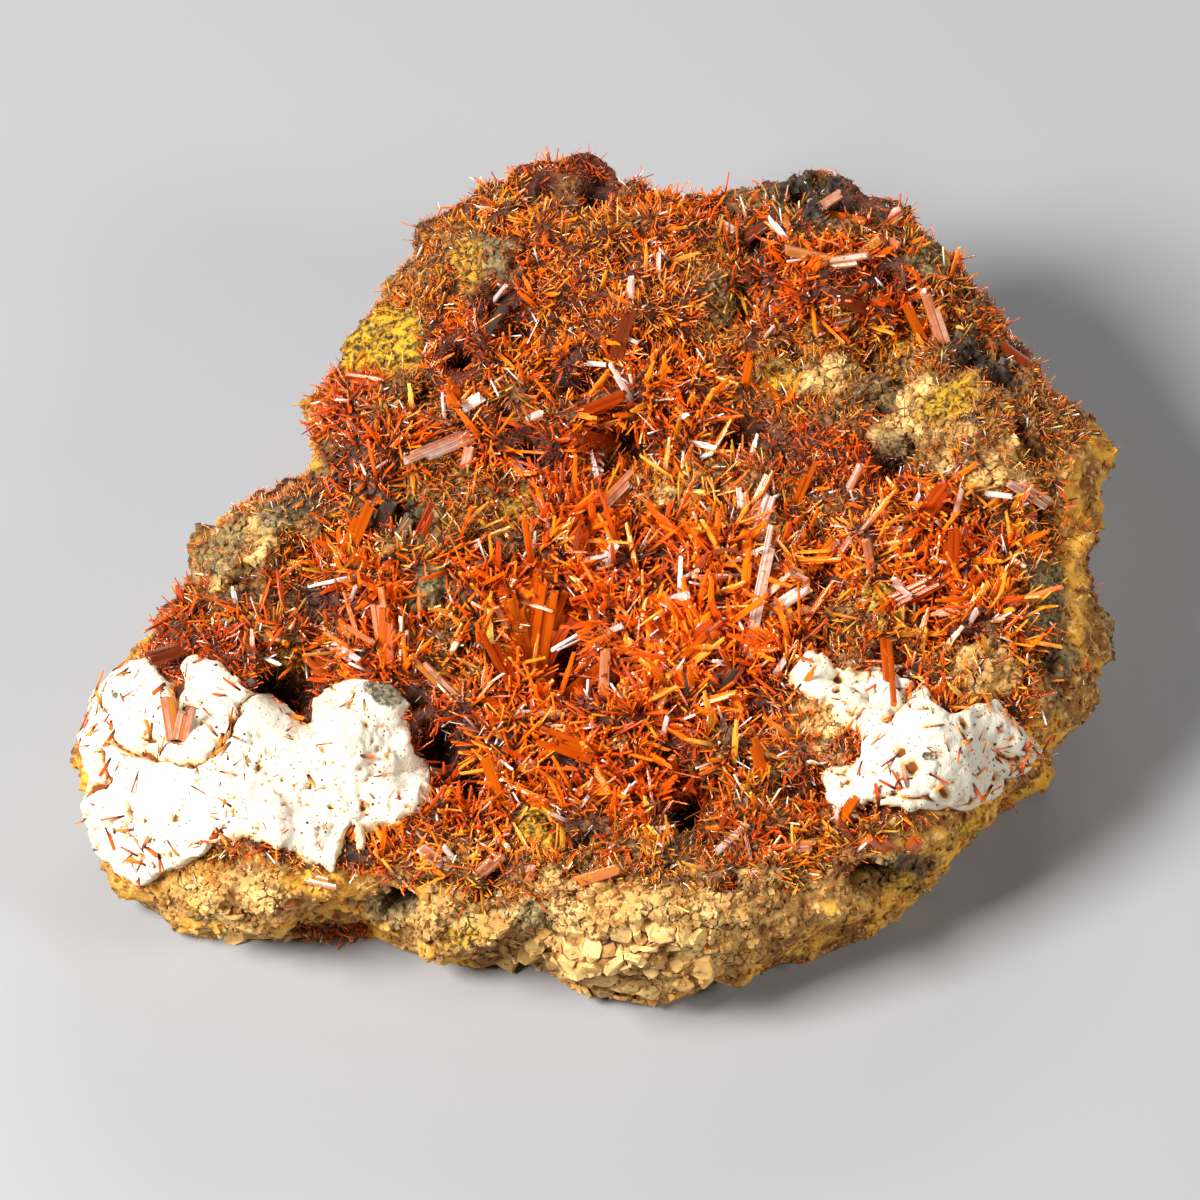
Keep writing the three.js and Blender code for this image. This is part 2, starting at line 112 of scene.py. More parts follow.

# Larger crystals by colour, the pink ones under a painted sheen and the pale and white ones painted glints:
# root u, v, tip u, v, width, height of the tip above the rock.
LARGE_CRYSTALS = {
    "orange": [
        (-10.8, -11, -12.9, 1.3, 2.8, 3.2), (-10.4, -11.4, -10.4, 4.2, 3.6, 3.4),
        (-10, -11.4, -7.6, 3.4, 3.6, 3.8), (-9.6, -11.3, -4.9, 1.4, 2.6, 3.4),
        (-10.2, -11, -9.4, -1, 3.1, 4.6), (-15, -1.5, -12.5, 3.5, 1.8, 4),
        (5, -24, -9, -19.5, 2.8, 3), (10, -10, 17, -4, 1.8, 3),
        (-30.5, -10.5, -31, -1, 2, 4), (-30, -10.5, -32.5, 2, 2.3, 4), (-14, -30, -16.5, -22.5, 2, 6),
        (-39, 4.5, -33.5, 14.5, 2.2, 3.5), (-37, 4, -34.5, 8, 1.5, 4), (-39, -12, -42.5, -8, 1.9, 3),
        (-20.5, 29, -22.5, 32, 1.8, 3), (41.5, -5, 42, -15, 1.6, 6), (44, -38, 39, -34, 1.9, 3),
        (44, -38, 46, -34.3, 1.9, 3), (-22.5, 31.8, -21, 28, 1.6, 2.5), (22, 12, 25, 19, 1.4, 4),
        (28, 13, 31, 20, 1.3, 4), (-4, 8, 2, 13, 1.6, 4), (30, 4, 34, 9, 1.3, 4), (12, 5, 8, 12, 1.4, 4),
        (33, -33, 37, -28, 1.5, 4), (12, -30, 10, -23, 1.6, 5), (24, -26, 22, -20, 1.4, 4),
        (-8, 8, -3.6, 13, 1.8, 5), (33.8, 56.4, 38.5, 55.5, 1.1, 3), (47.4, 37.3, 44.9, 43.1, 1.3, 4),
        (21, 30.6, 22.1, 36.1, 1.4, 4), (27.1, 28.9, 23.8, 31.7, 0.9, 4),
    ],
    "red": [
        (-9, -11, -4.5, -2, 2.2, 5), (-11.5, -13.5, -17, -4, 2, 4), (-5, -14, 1.5, -9, 2.2, 4),
        (2, -12.5, 1.5, -7, 1.5, 4), (9.5, -8, 17.5, -2.5, 1.9, 3.5), (-1.5, 3, -3.5, 12.5, 1.8, 3),
        (-30.5, 31, -37, 32.5, 1.8, 3), (2.5, 22.5, -4.5, 24.5, 2, 5), (45, 10, 50.5, 17, 2.4, 4),
        (50.5, 2, 51, 10.5, 2.2, 4), (39.5, -2, 49, 3, 2.1, 3.5), (49.5, -3.5, 57.5, 4, 2.9, 4),
        (16.5, -34.5, 19, -30.5, 1.7, 3), (-3, 27, 4, 30, 1.5, 4), (24, 20, 17, 22, 1.5, 4),
        (31, 24, 37, 27, 1.6, 3), (-27, 8, -24, 14, 1.5, 4), (5, -33, 1, -28, 1.5, 4),
    ],
    "brown": [
        (-28.7, -10.5, -28.2, -2, 1.8, 3.5), (-39, 5, -37, 18.5, 2.1, 3.5), (-53, -4, -50, -7.5, 1.6, 3),
        (-58, -6.5, -65.5, -8.5, 2, 5), (-50, -12.5, -53.5, -8, 1.3, 3), (0.6, 31, 4.5, 42.5, 1.9, 3.5),
        (-30.5, 28.5, -21.5, 25.2, 1.3, 3), (19.4, 48.6, 22.4, 47, 1.1, 3), (24.6, 57.6, 27.8, 59.8, 1.1, 3),
        (38, -36, 34.5, -32, 1.1, 3), (-15.8, 52.5, -12.3, 50.2, 1.2, 2), (40, 42, 33, 45, 1.5, 3),
        (21, 52, 26, 56, 1.4, 3), (31, 39, 37, 41, 1.5, 3), (58, 38, 63, 34, 1.4, 2.5),
    ],
    # Red under a painted sheen.
    "pink_sheen": [
        (-1.5, 12, 5, 18.5, 1.8, 7), (-21, -14.5, -27.3, -7.8, 1.7, 3), (-41, -2.3, -33, -6.6, 1.7, 3),
        (26.5, 49, 39.5, 50, 1.9, 3), (34.5, 50.3, 27, 51.2, 1.2, 3), (37.5, 50.8, 41.2, 53, 1.2, 3.5),
        (42.5, 43.5, 54, 48.5, 2.1, 4), (39.5, 3.5, 38.5, 9, 1.2, 3), (-40.5, -43.8, -45.5, -44, 1.5, 3),
        (-18.5, -41, -14, -36.5, 1.9, 3), (-3.5, -41.5, 3, -38.5, 1.2, 3), (-14.5, -40.5, -9.5, -39, 2, 2),
        (-21, -25.5, -25.5, -24.5, 1.3, 3), (25, -36, 31, -35.2, 1.6, 3), (7.3, -19.4, 9.6, -12.9, 1, 4),
        (-10.5, -26.5, -10, -23, 1.6, 3), (25, -3.8, 30.5, -1.2, 0.9, 3.4), (25, 5.5, 30.5, 3, 1.3, 3),
        (-11, -7, -15, -1, 0.9, 6), (40.7, 53.1, 43.8, 51.9, 0.9, 3.5), (50.7, 37.5, 47.9, 45, 1.9, 4),
        (26.3, 57.5, 27.4, 54.7, 1.1, 3), (31.6, 57.8, 35.6, 59.8, 1.4, 3),
        (-43.5, -40.6, -37.5, -41, 1.5, 2.5),
    ],
    # Painted glints.
    "pale_glint": [
        (-4.5, -16.5, -14.5, -17, 2, 2.5), (0.5, -14, 0.7, -7.3, 1.1, 5), (-40, -6.5, -35, -9, 1.5, 3),
        (-18.5, 24.5, -28.5, 20, 2.2, 4), (-20, 19, -19, 22.5, 1.3, 3), (42.5, 54.5, 44, 57.5, 1.2, 3),
        (66.3, 13.2, 59.6, 17.3, 1.9, 3.5), (34.5, 13.5, 38, 19.9, 1, 4),
        (-22.5, -38, -26, -35.5, 1.2, 3), (51.2, 12, 52.5, 16, 0.8, 5), (21.5, 9, 24.5, 15.5, 2.6, 2.5),
        (21.5, 12, 20.5, 16.5, 1.6, 3), (-22, 27.5, -17, 29.8, 1.2, 3), (33.8, 5.2, 36.2, 9, 0.7, 4),
    ],
    # Painted glints: strips of facet coloured white as if they mirrored the light.
    "white": [
        (20.5, -11.5, 25.2, 11, 1.6, 5), (24.4, -1.5, 30.2, 2, 1.6, 4), (45, 0.5, 42.5, 3.2, 0.9, 4),
        (16, -36.5, 21.5, -32, 0.9, 4), (-3, -6.5, 3, -3.8, 0.9, 4), (9.2, -0.5, 12.8, 0.7, 1, 4),
        (11.2, 2.1, 14.2, 4.3, 0.6, 4), (9.1, -20.9, 9.7, -16.8, 0.6, 4), (24.6, -11, 26.8, -8.5, 0.7, 3),
        (9.1, 46, 8.6, 51, 0.6, 3), (4.6, 44.2, 4.5, 47.2, 0.7, 3), (-3.6, 34.9, 1, 34.3, 0.6, 3),
        (-12.7, 25.6, -8.4, 27.2, 0.9, 3), (54.7, 15.9, 59.8, 15, 0.6, 4.5), (44.9, 13, 46.4, 15.3, 0.8, 5),
        (41.1, 10.5, 43.8, 10.4, 0.7, 4), (42.3, 3.4, 44.9, 0.6, 0.7, 4), (52.4, -3, 54.5, -1.5, 0.8, 5),
        (55.5, -2.2, 58.4, -2.6, 0.5, 3), (59.6, 6.7, 61.7, 4.8, 0.5, 3), (-15, 43.5, -13.7, 46, 0.5, 3),
        (-36.8, -0.9, -35.4, 2, 0.5, 3), (3, 38.6, 5.6, 37.5, 0.5, 2), (43, 55, 43.6, 57, 0.9, 2.5),
        (-20.4, -37.2, -22.6, -35.3, 0.7, 3), (-3.2, -30.5, -1.6, -28.2, 0.6, 3),
        (-0.5, 3.5, 2.3, 8.2, 1.2, 5), (17.7, 55.5, 19.6, 54.2, 1, 3), (31.9, 56.4, 30.7, 58.8, 0.6, 3),
        (46.3, 43.9, 47.4, 45.2, 0.7, 5), (24, 38.6, 25.3, 40, 0.5, 4),
    ],
    "grey": [
        (15.5, -14.5, 19, -9.5, 2.2, 4), (12.5, -15.8, 13.5, -10.2, 2.2, 3.5), (17, -21.5, 19, -16.5, 2.2, 3),
        (-32.5, 9, -30.5, 14.5, 2, 2.5), (-30, 8, -27.5, 12.5, 1.8, 2.5), (-17, 37.5, -14, 43, 1.1, 2),
    ],
}
# Two blades that stand in a notch of the left crust.
CRUST_TWIN = [(-60.9, -20.7, -62.4, -13.7, 1.9, 7.5), (-59.9, -20.8, -59.2, -15.1, 2.5, 6.5)]

# ---- Zones of the rock ----------------------------------------------------------------------------

# Ragged ellipses of the drawing plane: u, v, half width, half height, turn, strength.
ZONES = {
    # Bare crumbly rock.
    "tan": [
        (7.5, -48, 19, 9, 0, 0.9), (-19, -47, 11, 4.5, 5, 0.75), (-51, -44, 15, 5, -8, 0.7),
        (46, 27, 7, 6, 0, 0.62), (55, 20, 9, 5, -10, 0.62), (-53, 9, 12, 7, 32, 0.52),
        (23.5, 11, 3, 5.5, 0, 0.7), (12, 16, 6, 3, 0, 0.5), (31, -18.5, 3.4, 4.4, 40, 0.7),
        (55.5, -10, 5, 4, 0, 0.75), (43, -36, 6, 4, 35, 0.5), (30, -44, 9, 4, 20, 0.6),
        (-25, -43, 7, 3, 0, 0.5), (33, 33, 6, 4, 0, 0.45), (2.5, -20.4, 1.6, 1.2, 0, 1),
        (65.5, 0, 1.3, 1.1, 0, 1),
    ],
    # Where it is cracked into flat plates.
    "plates": [(5.5, -52, 15, 6.5, 0, 1), (-13, -49.5, 6, 3, 10, 0.8), (-50, -47, 8, 3, -8, 0.6)],
    # Druse grown through with brown and golden needles and crumbs.
    "gold": [
        (-24, 51, 8, 7, 40, 0.6), (-31, 33, 5, 6, 0, 0.55), (-22, 13, 13, 7, 10, 0.75),
        (12, 17.5, 12, 6, 0, 0.65), (45, 32, 16, 9, -25, 0.85), (62, 24, 13, 11, 0, 0.7),
        (18, 45, 4.5, 12, 0, 0.65), (31, 31, 11, 6, 0, 0.75), (-20, -7, 6, 7, 0, 0.6),
        (38, -4, 7, 6, 0, 0.45), (54, -9, 8, 5, 0, 0.7), (5, -37, 22, 6, 0, 0.6),
        (-20, -44, 13, 7, 0, 0.7), (32, -41, 18, 7, 15, 0.7), (-50, 6, 13, 9, 20, 0.6),
        (21, -27, 9, 6, 0, 0.5), (37, 57, 16, 6, -15, 0.55), (56, 40, 12, 7, -45, 0.65),
        (50, 28, 12, 8, 0, 0.85), (-2, 58, 12, 4, 0, 0.4), (-44, -7, 7, 4, 0, 0.5),
        (64, 8, 4, 12, 0, 0.6), (-8, 29, 7, 4, 0, 0.4), (-50, -42, 16, 6, 0, 0.6),
        (28, 12, 8, 8, 0, 0.4),
    ],
    "yellow": [
        (-32.5, 38, 5.8, 6.5, 0, 1), (-8.8, -31.5, 2.6, 4.6, 15, 1), (26, 31.8, 2.6, 2, 0, 0.8),
        (50.8, 29.3, 5, 2.6, 35, 1), (40.6, 0.5, 2.3, 1.9, 0, 1), (-11.5, 13.8, 3, 2.2, 0, 0.8),
        (53, -33.5, 3.4, 1.8, 40, 0.8), (-20.5, -48.5, 4.6, 1.6, 10, 0.9), (-25, 21, 2.5, 2, 0, 0.5),
        (40.5, -3.6, 1.6, 1.2, 0, 0.8), (-45, -8, 1.6, 1.6, 0, 0.8), (56, -14.2, 1.6, 1.8, 0, 0.7),
        (-19.5, 49, 1.8, 4, 0, 0.7), (43, -41, 2.5, 1.6, 0, 0.7), (44, 37.5, 1.2, 0.9, 0, 0.9),
        (2.6, 55, 1.6, 0.9, 0, 0.6),
    ],
    "olive": [
        (-24.5, 1.6, 3.6, 3.4, 0, 1), (64.6, 1, 2.7, 8.5, 0, 0.95), (66.5, -10, 2, 6, 0, 0.9),
        (47.5, 49.5, 3.2, 2.8, 0, 0.8), (-9.5, -46, 2.6, 2.6, 0, 0.9), (-15, 51, 4, 2.5, -20, 0.8),
        (-28, 12.5, 5, 4, 0, 0.7), (17, 44, 3, 5, 0, 0.7), (42.5, 23.5, 3, 2, 0, 0.7),
        (-30, -44.5, 3.5, 3, 0, 0.8), (40, 32, 4, 3, 0, 0.6), (-12, 9, 3, 3, 0, 0.5),
        (-55, 7.5, 5, 2.4, 40, 0.8), (-46, 12.5, 5, 2, 20, 0.8), (-64, -46, 4, 2, 0, 0.6),
        (24, 60, 4, 2.5, 0, 0.7),
    ],
    "dark": [
        (34, 59.5, 12, 4, -8, 0.95), (-29.5, 12, 3.4, 3.5, 0, 0.95), (-22, -21, 3.6, 4.5, 10, 0.95),
        (44.2, -39, 4.2, 3, 0, 0.8), (-45, -13.2, 5, 2.8, 0, 0.95), (-43, 16, 5, 3, 20, 0.7),
        (55, 36, 6, 2.4, -25, 0.9), (-22, 26, 4, 2, 0, 0.6), (-35.5, -35.5, 3, 1.6, 0, 0.6),
        (22.5, 51, 3, 5, 0, 0.6), (-48, 0, 7, 2, 10, 0.5), (-35, 19, 3, 5, 0, 0.5),
        (10, -37, 4, 2, 0, 0.5), (-14, -38, 4, 2, 0, 0.5),
    ],
    # Hollows that lie deeper between the crystals, their rock painted near black as painted shade.
    "pit": [
        (-14, 43, 3.4, 4.6, 15, 1), (0, 61, 2.6, 1.4, 0, 1), (-6.8, 61.5, 2, 1, 0, 1),
        (-20.6, 35.7, 1.8, 1.7, 0, 1), (-2.3, 32, 3.6, 1.8, 0, 1), (-13.3, 27, 1.6, 1.6, 0, 1),
        (3.5, 22.5, 4, 2.4, -10, 0.6), (-10.3, 20.8, 1.8, 2.2, 0, 1), (-16.2, 7.6, 1.2, 1.1, 0, 1),
        (-4.2, -10.7, 2.7, 3.2, 0, 1), (-18.8, -0.8, 1.3, 1.1, 0, 1), (-23, -20.4, 2.7, 3.6, 0, 1),
        (-18.5, -26.2, 2.2, 2, 0, 1), (-34.7, -2.6, 1.4, 1.3, 0, 1), (-26, -14.4, 1.2, 1.1, 0, 1),
        (13, -30.3, 2.8, 2.5, 0, 1), (-4.6, -24.5, 1.6, 0.9, 0, 1), (60.9, 36.8, 2.4, 1.1, -20, 1),
        (58.5, 32.8, 2.2, 1.2, 0, 1), (45, 23.2, 1.1, 1.1, 0, 1), (42.3, 20.3, 2.5, 2, 0, 0.9),
        (48, -2, 1.1, 0.9, 0, 1), (53.6, -4.5, 1.8, 1, 0, 1), (42.3, -7.4, 1.9, 1.3, 0, 1),
        (36.6, 58.8, 4, 2.4, 0, 1), (29, 60.7, 1.6, 1.2, 0, 1), (22.6, 52.5, 1.5, 1.5, 0, 1),
        (42.4, 47.4, 1.3, 1.4, 0, 1), (36.7, 46.8, 2.6, 1.1, 0, 0.9), (54.7, 35.7, 3.2, 1.6, 15, 1),
        (20.7, 25.5, 3.3, 2, -10, 1), (41.2, 29, 1.3, 2, 0, 0.8), (-45.5, -13.3, 4.6, 2.6, 0, 1),
        (-41.3, -0.8, 2.5, 1.2, 0, 1), (19.6, -40.6, 1.3, 1.2, 0, 1), (39.5, -40.6, 3, 2.2, 0, 0.9),
        (-29.5, -44, 2.6, 2, 0, 0.8), (10, -22.6, 2, 1.4, 0, 1), (33, 2.5, 1.6, 1.2, 0, 1),
        (27.5, -27, 2, 2.4, 0, 0.9), (-38.5, 20, 1.4, 2.4, 0, 1), (-52, 3.5, 3.4, 1.2, 15, 0.9),
        (26, 22, 1.6, 1.3, 0, 0.9), (8.5, 5.2, 1.5, 1.3, 0, 0.9), (-1, -34, 2.2, 1.2, 0, 0.9),
    ],
    # Flat ochre sides.
    "ochre": [(71.5, 2, 5, 13, -6, 1), (70.5, 17, 3, 7, -15, 1), (66.5, -15, 4, 5, 20, 0.8)],
}
# How warm the small crystals are, from brown red at 0 to light orange at 1.
WARMTH = 0.6
WARM_ZONES = [
    (-6, 47, 25, 18, 0, 0.72), (36, 48, 20, 13, 0, 0.5), (5, 20, 22, 9, 0, 0.56), (-34, 24, 11, 13, 0, 0.54),
    (-50, -2, 13, 8, 0, 0.48), (48, 6, 17, 15, 0, 0.64), (-24, 33, 7, 6, 0, 0.74), (7, -48, 22, 10, 0, 0.68),
    (2, -30, 26, 7, 0, 0.54), (58, 28, 15, 10, 0, 0.62), (-12, -5, 12, 9, 0, 0.62),
]
# How large the small crystals are, from fine moss at 0 to long prisms at 1.
COARSENESS = 0.12
COARSE_ZONES = [
    (2, -2, 29, 20, 0, 1), (2, -27, 28, 9, 0, 0.9), (50, 2, 16, 16, 0, 0.8), (-34, -2, 12, 12, 0, 0.8),
    (38, 47, 18, 9, -20, 0.7), (-14, 42, 6, 7, 0, 0.8), (-34, 22, 9, 12, 0, 0.55), (6, 21, 22, 10, 0, 0.75),
    (-49, -3, 12, 6, 0, 0.6), (-2, 32, 14, 5, 0, 0.6), (-22, -38, 12, 5, 0, 0.6), (31, -36, 15, 5, 0, 0.6),
]

# ---- The white crusts -----------------------------------------------------------------------------

LEFT_CRUST = [
    (-73.7, -13.6), (-69.3, -9.9), (-65.5, -8.7), (-63.1, -11.2), (-60.2, -12.0), (-59.7, -9.0),
    (-57.7, -8.0), (-54.4, -9.3), (-52.2, -12.3), (-50.6, -13.6), (-48.1, -14.5), (-46.4, -16.5),
    (-44.8, -18.0), (-42.0, -18.3), (-41.5, -15.7), (-38.6, -13.6), (-38.1, -11.7), (-33.9, -11.6),
    (-32.3, -11.6), (-28.6, -14.5), (-28.1, -17.8), (-27.3, -21.9), (-25.2, -24.5), (-24.4, -27.4),
    (-25.2, -31.0), (-29.0, -32.3), (-31.9, -33.2), (-34.8, -35.7), (-36.5, -34.1), (-38.6, -38.6),
    (-42.3, -37.4), (-45.7, -36.1), (-49.0, -35.2), (-51.5, -34.1), (-54.8, -35.7), (-58.1, -37.4),
    (-61.5, -39.0), (-66.0, -41.0), (-70.2, -38.1), (-73.1, -35.7), (-74.1, -31.9), (-73.5, -27.8),
    (-75.1, -23.6), (-75.4, -20.3), (-74.4, -16.5),
]
RIGHT_CRUST = [
    (27.0, -10.6), (29.7, -8.1), (32.0, -8.8), (35.5, -9.9), (39.4, -11.0), (42.9, -10.3),
    (45.2, -12.6), (48.7, -14.2), (48.7, -16.5), (55.7, -14.9), (57.7, -14.5), (59.2, -16.8),
    (61.2, -19.1), (64.2, -20.7), (63.8, -21.9), (60.8, -23.5), (57.7, -25.1), (57.3, -27.4),
    (55.7, -29.3), (51.5, -29.7), (47.6, -30.4), (44.1, -30.4), (38.6, -29.3), (35.5, -31.6),
    (33.5, -29.3), (33.2, -26.5), (31.2, -25.1), (34.4, -24.2), (37.8, -23.1), (37.8, -20.7),
    (35.5, -18.4), (33.9, -16.8), (30.9, -15.4), (28.1, -13.3),
]
# Cracks as lines of points with a width, and holes as u, v, radius.
CRUST_CRACKS = {
    "white_crust_left": [
        (0.3, [
            (-50.8, -14.5), (-53.1, -18.6), (-53.2, -20.6), (-55.7, -23.2), (-58.2, -24.6), (-61.5, -23.8),
        ]),
        (1.0, [(-61.3, -9.0), (-60.6, -13.5), (-60.3, -20.3)]),
        (0.3, [(-67.4, -29.0), (-67.1, -31.2), (-68.0, -34.5)]),
        (0.6, [(-71.5, -22.5), (-70.4, -26.5), (-72.8, -27.5)]),
        (0.3, [(-61.5, -23.8), (-66, -22.9), (-69.6, -21.2)]),
    ],
    "white_crust_right": [
        (0.5, [(45.8, -13.2), (43.2, -17.2), (41.5, -18.4)]),
        (0.25, [(36.6, -30.4), (42.2, -28.2), (48, -28.4)]),
        (0.35, [(56.2, -22.6), (60, -22), (62.5, -21)]),
    ],
}
CRUST_HOLES = {
    "white_crust_left": [
        (-49.6, -25.3, 0.5), (-60.3, -31.3, 0.7), (-39.3, -30.4, 0.6), (-34.6, -30.3, 0.6),
        (-63.9, -21.2, 0.8), (-45.6, -30.8, 0.4), (-55.1, -35.2, 0.7), (-42, -27.2, 0.5),
        (-64.7, -31.8, 0.4), (-70.8, -16.4, 0.5),
    ],
    "white_crust_right": [
        (34.1, -11.8, 1.0), (34.1, -14.3, 0.6), (36.8, -14.4, 0.5), (47, -17.3, 0.7),
        (44, -22.6, 0.9), (45, -24.6, 0.9), (51.6, -19.2, 0.5), (60.3, -21.2, 0.6),
        (36.6, -26.6, 0.5), (37.8, -28.6, 0.5), (49, -27.5, 0.8), (52.5, -28.2, 0.5), (56, -25.2, 0.7),
    ],
}
# Dark patches on the crusts: u, v, half width, half height, turn, strength.
CRUST_STAINS = [
    (-30.7, -14.2, 2.3, 2.4, 0, 1), (-69.2, -14.5, 0.8, 0.8, 0, 0.7), (33.6, -20.6, 1.2, 0.8, 0, 0.6),
    (47.2, -23, 0.9, 0.7, 0, 0.6),
]


# ---- Node trees written as expressions ------------------------------------------------------------


class Wire:
    """A socket whose arithmetic adds Math nodes to its tree."""

    def __init__(self, net, socket):
        self.net = net
        self.socket = socket

    def __add__(self, other):
        return self.net.math("ADD", self, other)

    def __sub__(self, other):
        return self.net.math("SUBTRACT", self, other)

    def __rsub__(self, other):
        return self.net.math("SUBTRACT", other, self)

    def __mul__(self, other):
        return self.net.math("MULTIPLY", self, other)

    def __rtruediv__(self, other):
        return self.net.math("DIVIDE", other, self)

    __radd__ = __add__
    __rmul__ = __mul__


class Net:
    """A node tree to which nodes are added with their settings and the values of their sockets."""

    def __init__(self, tree):
        self.tree = tree

    def add(self, kind, settings=None, inputs=None):
        """Adds a node and returns its outputs by name. Settings come first, a ramp's stops too."""
        node = self.tree.nodes.new(kind)
        for name, value in (settings or {}).items():
            if name == "stops":
                self.set_stops(node.color_ramp, value)
            else:
                setattr(node, name, value)
        for name, value in (inputs or {}).items():
            socket = next(s for s in node.inputs if s.enabled and s.name == name)
            self.feed(socket, value)
        return {s.name: Wire(self, s) for s in node.outputs if s.enabled}

    @staticmethod
    def set_stops(ramp, stops):
        while len(ramp.elements) < len(stops):
            ramp.elements.new(1)
        for element, (position, colour) in zip(ramp.elements, stops):
            element.position = position
            element.color = (*colour, 1)

    def feed(self, socket, value):
        if isinstance(value, Wire):
            self.tree.links.new(value.socket, socket)
        elif isinstance(value, list):
            for wire in value:
                self.tree.links.new(wire.socket, socket)
        elif socket.type == "RGBA":
            socket.default_value = (*value, 1)
        else:
            socket.default_value = value

    def math(self, operation, *values):
        return self.calculate("ShaderNodeMath", operation, values, "Value")

    def vector(self, operation, *values, output="Vector"):
        return self.calculate("ShaderNodeVectorMath", operation, values, output)

    def calculate(self, kind, operation, values, output):
        """One output of a node that takes its values in order."""
        node = self.tree.nodes.new(kind)
        node.operation = operation
        for socket, value in zip([s for s in node.inputs if s.enabled], values):
            self.feed(socket, value)
        return Wire(self, node.outputs[output])

    def step(self, value, low, high):
        """0 below low and 1 above high, with a soft change between them."""
        inputs = {"Value": value, "From Min": low, "From Max": high}
        return self.add("ShaderNodeMapRange", {"interpolation_type": "SMOOTHSTEP"}, inputs)["Result"]

    def mix(self, factor, a, b, blend="MIX"):
        """A mix of two colours."""
        settings = {"data_type": "RGBA", "blend_type": blend}
        return self.add("ShaderNodeMix", settings, {"Factor": factor, "A": a, "B": b})["Result"]

    def combined(self, **parts):
        """A vector of the numbers named X, Y and Z."""
        return self.add("ShaderNodeCombineXYZ", None, parts)["Vector"]

    def noise(self, place, size, detail=2, roughness=0.5):
        """Noise from 0 to 1 with features about size across, in metres."""
        inputs = {"Vector": place, "Scale": 1 / size, "Detail": detail, "Roughness": roughness}
        return self.add("ShaderNodeTexNoise", None, inputs)["Fac"]

    def cells(self, place, size, feature="F1"):
        """The outputs of a Voronoi texture with cells of a size, in metres."""
        return self.add("ShaderNodeTexVoronoi", {"feature": feature}, {"Vector": place, "Scale": 1 / size})


class Shader(Net):
    """The node tree of a finish."""

    def __init__(self, name, **constants):
        self.material = bpy.data.materials.new(name)
        self.material.use_nodes = True
        super().__init__(self.material.node_tree)
        self.surface = self.tree.nodes["Principled BSDF"]
        for socket, value in constants.items():
            self.feed(self.surface.inputs[socket.replace("_", " ")], value)
        self.place = self.add("ShaderNodeTexCoord")["Object"]

    def attribute(self, name):
        return self.add("ShaderNodeAttribute", {"attribute_name": name})["Fac"]

    def show(self, **links):
        for socket, value in links.items():
            self.feed(self.surface.inputs[socket.replace("_", " ")], value)

    def bump(self, height, distance):
        inputs = {"Height": height, "Distance": distance, "Strength": 1}
        return self.add("ShaderNodeBump", None, inputs)["Normal"]

    def shade(self, colour, factor):
        """A colour multiplied by another one."""
        return self.mix(1.0, colour, factor, "MULTIPLY")

    def fade(self, value, low, high, below, above):
        """One colour where a value is below low and another where it is above high."""
        return self.mix(self.step(value, low, high), below, above)


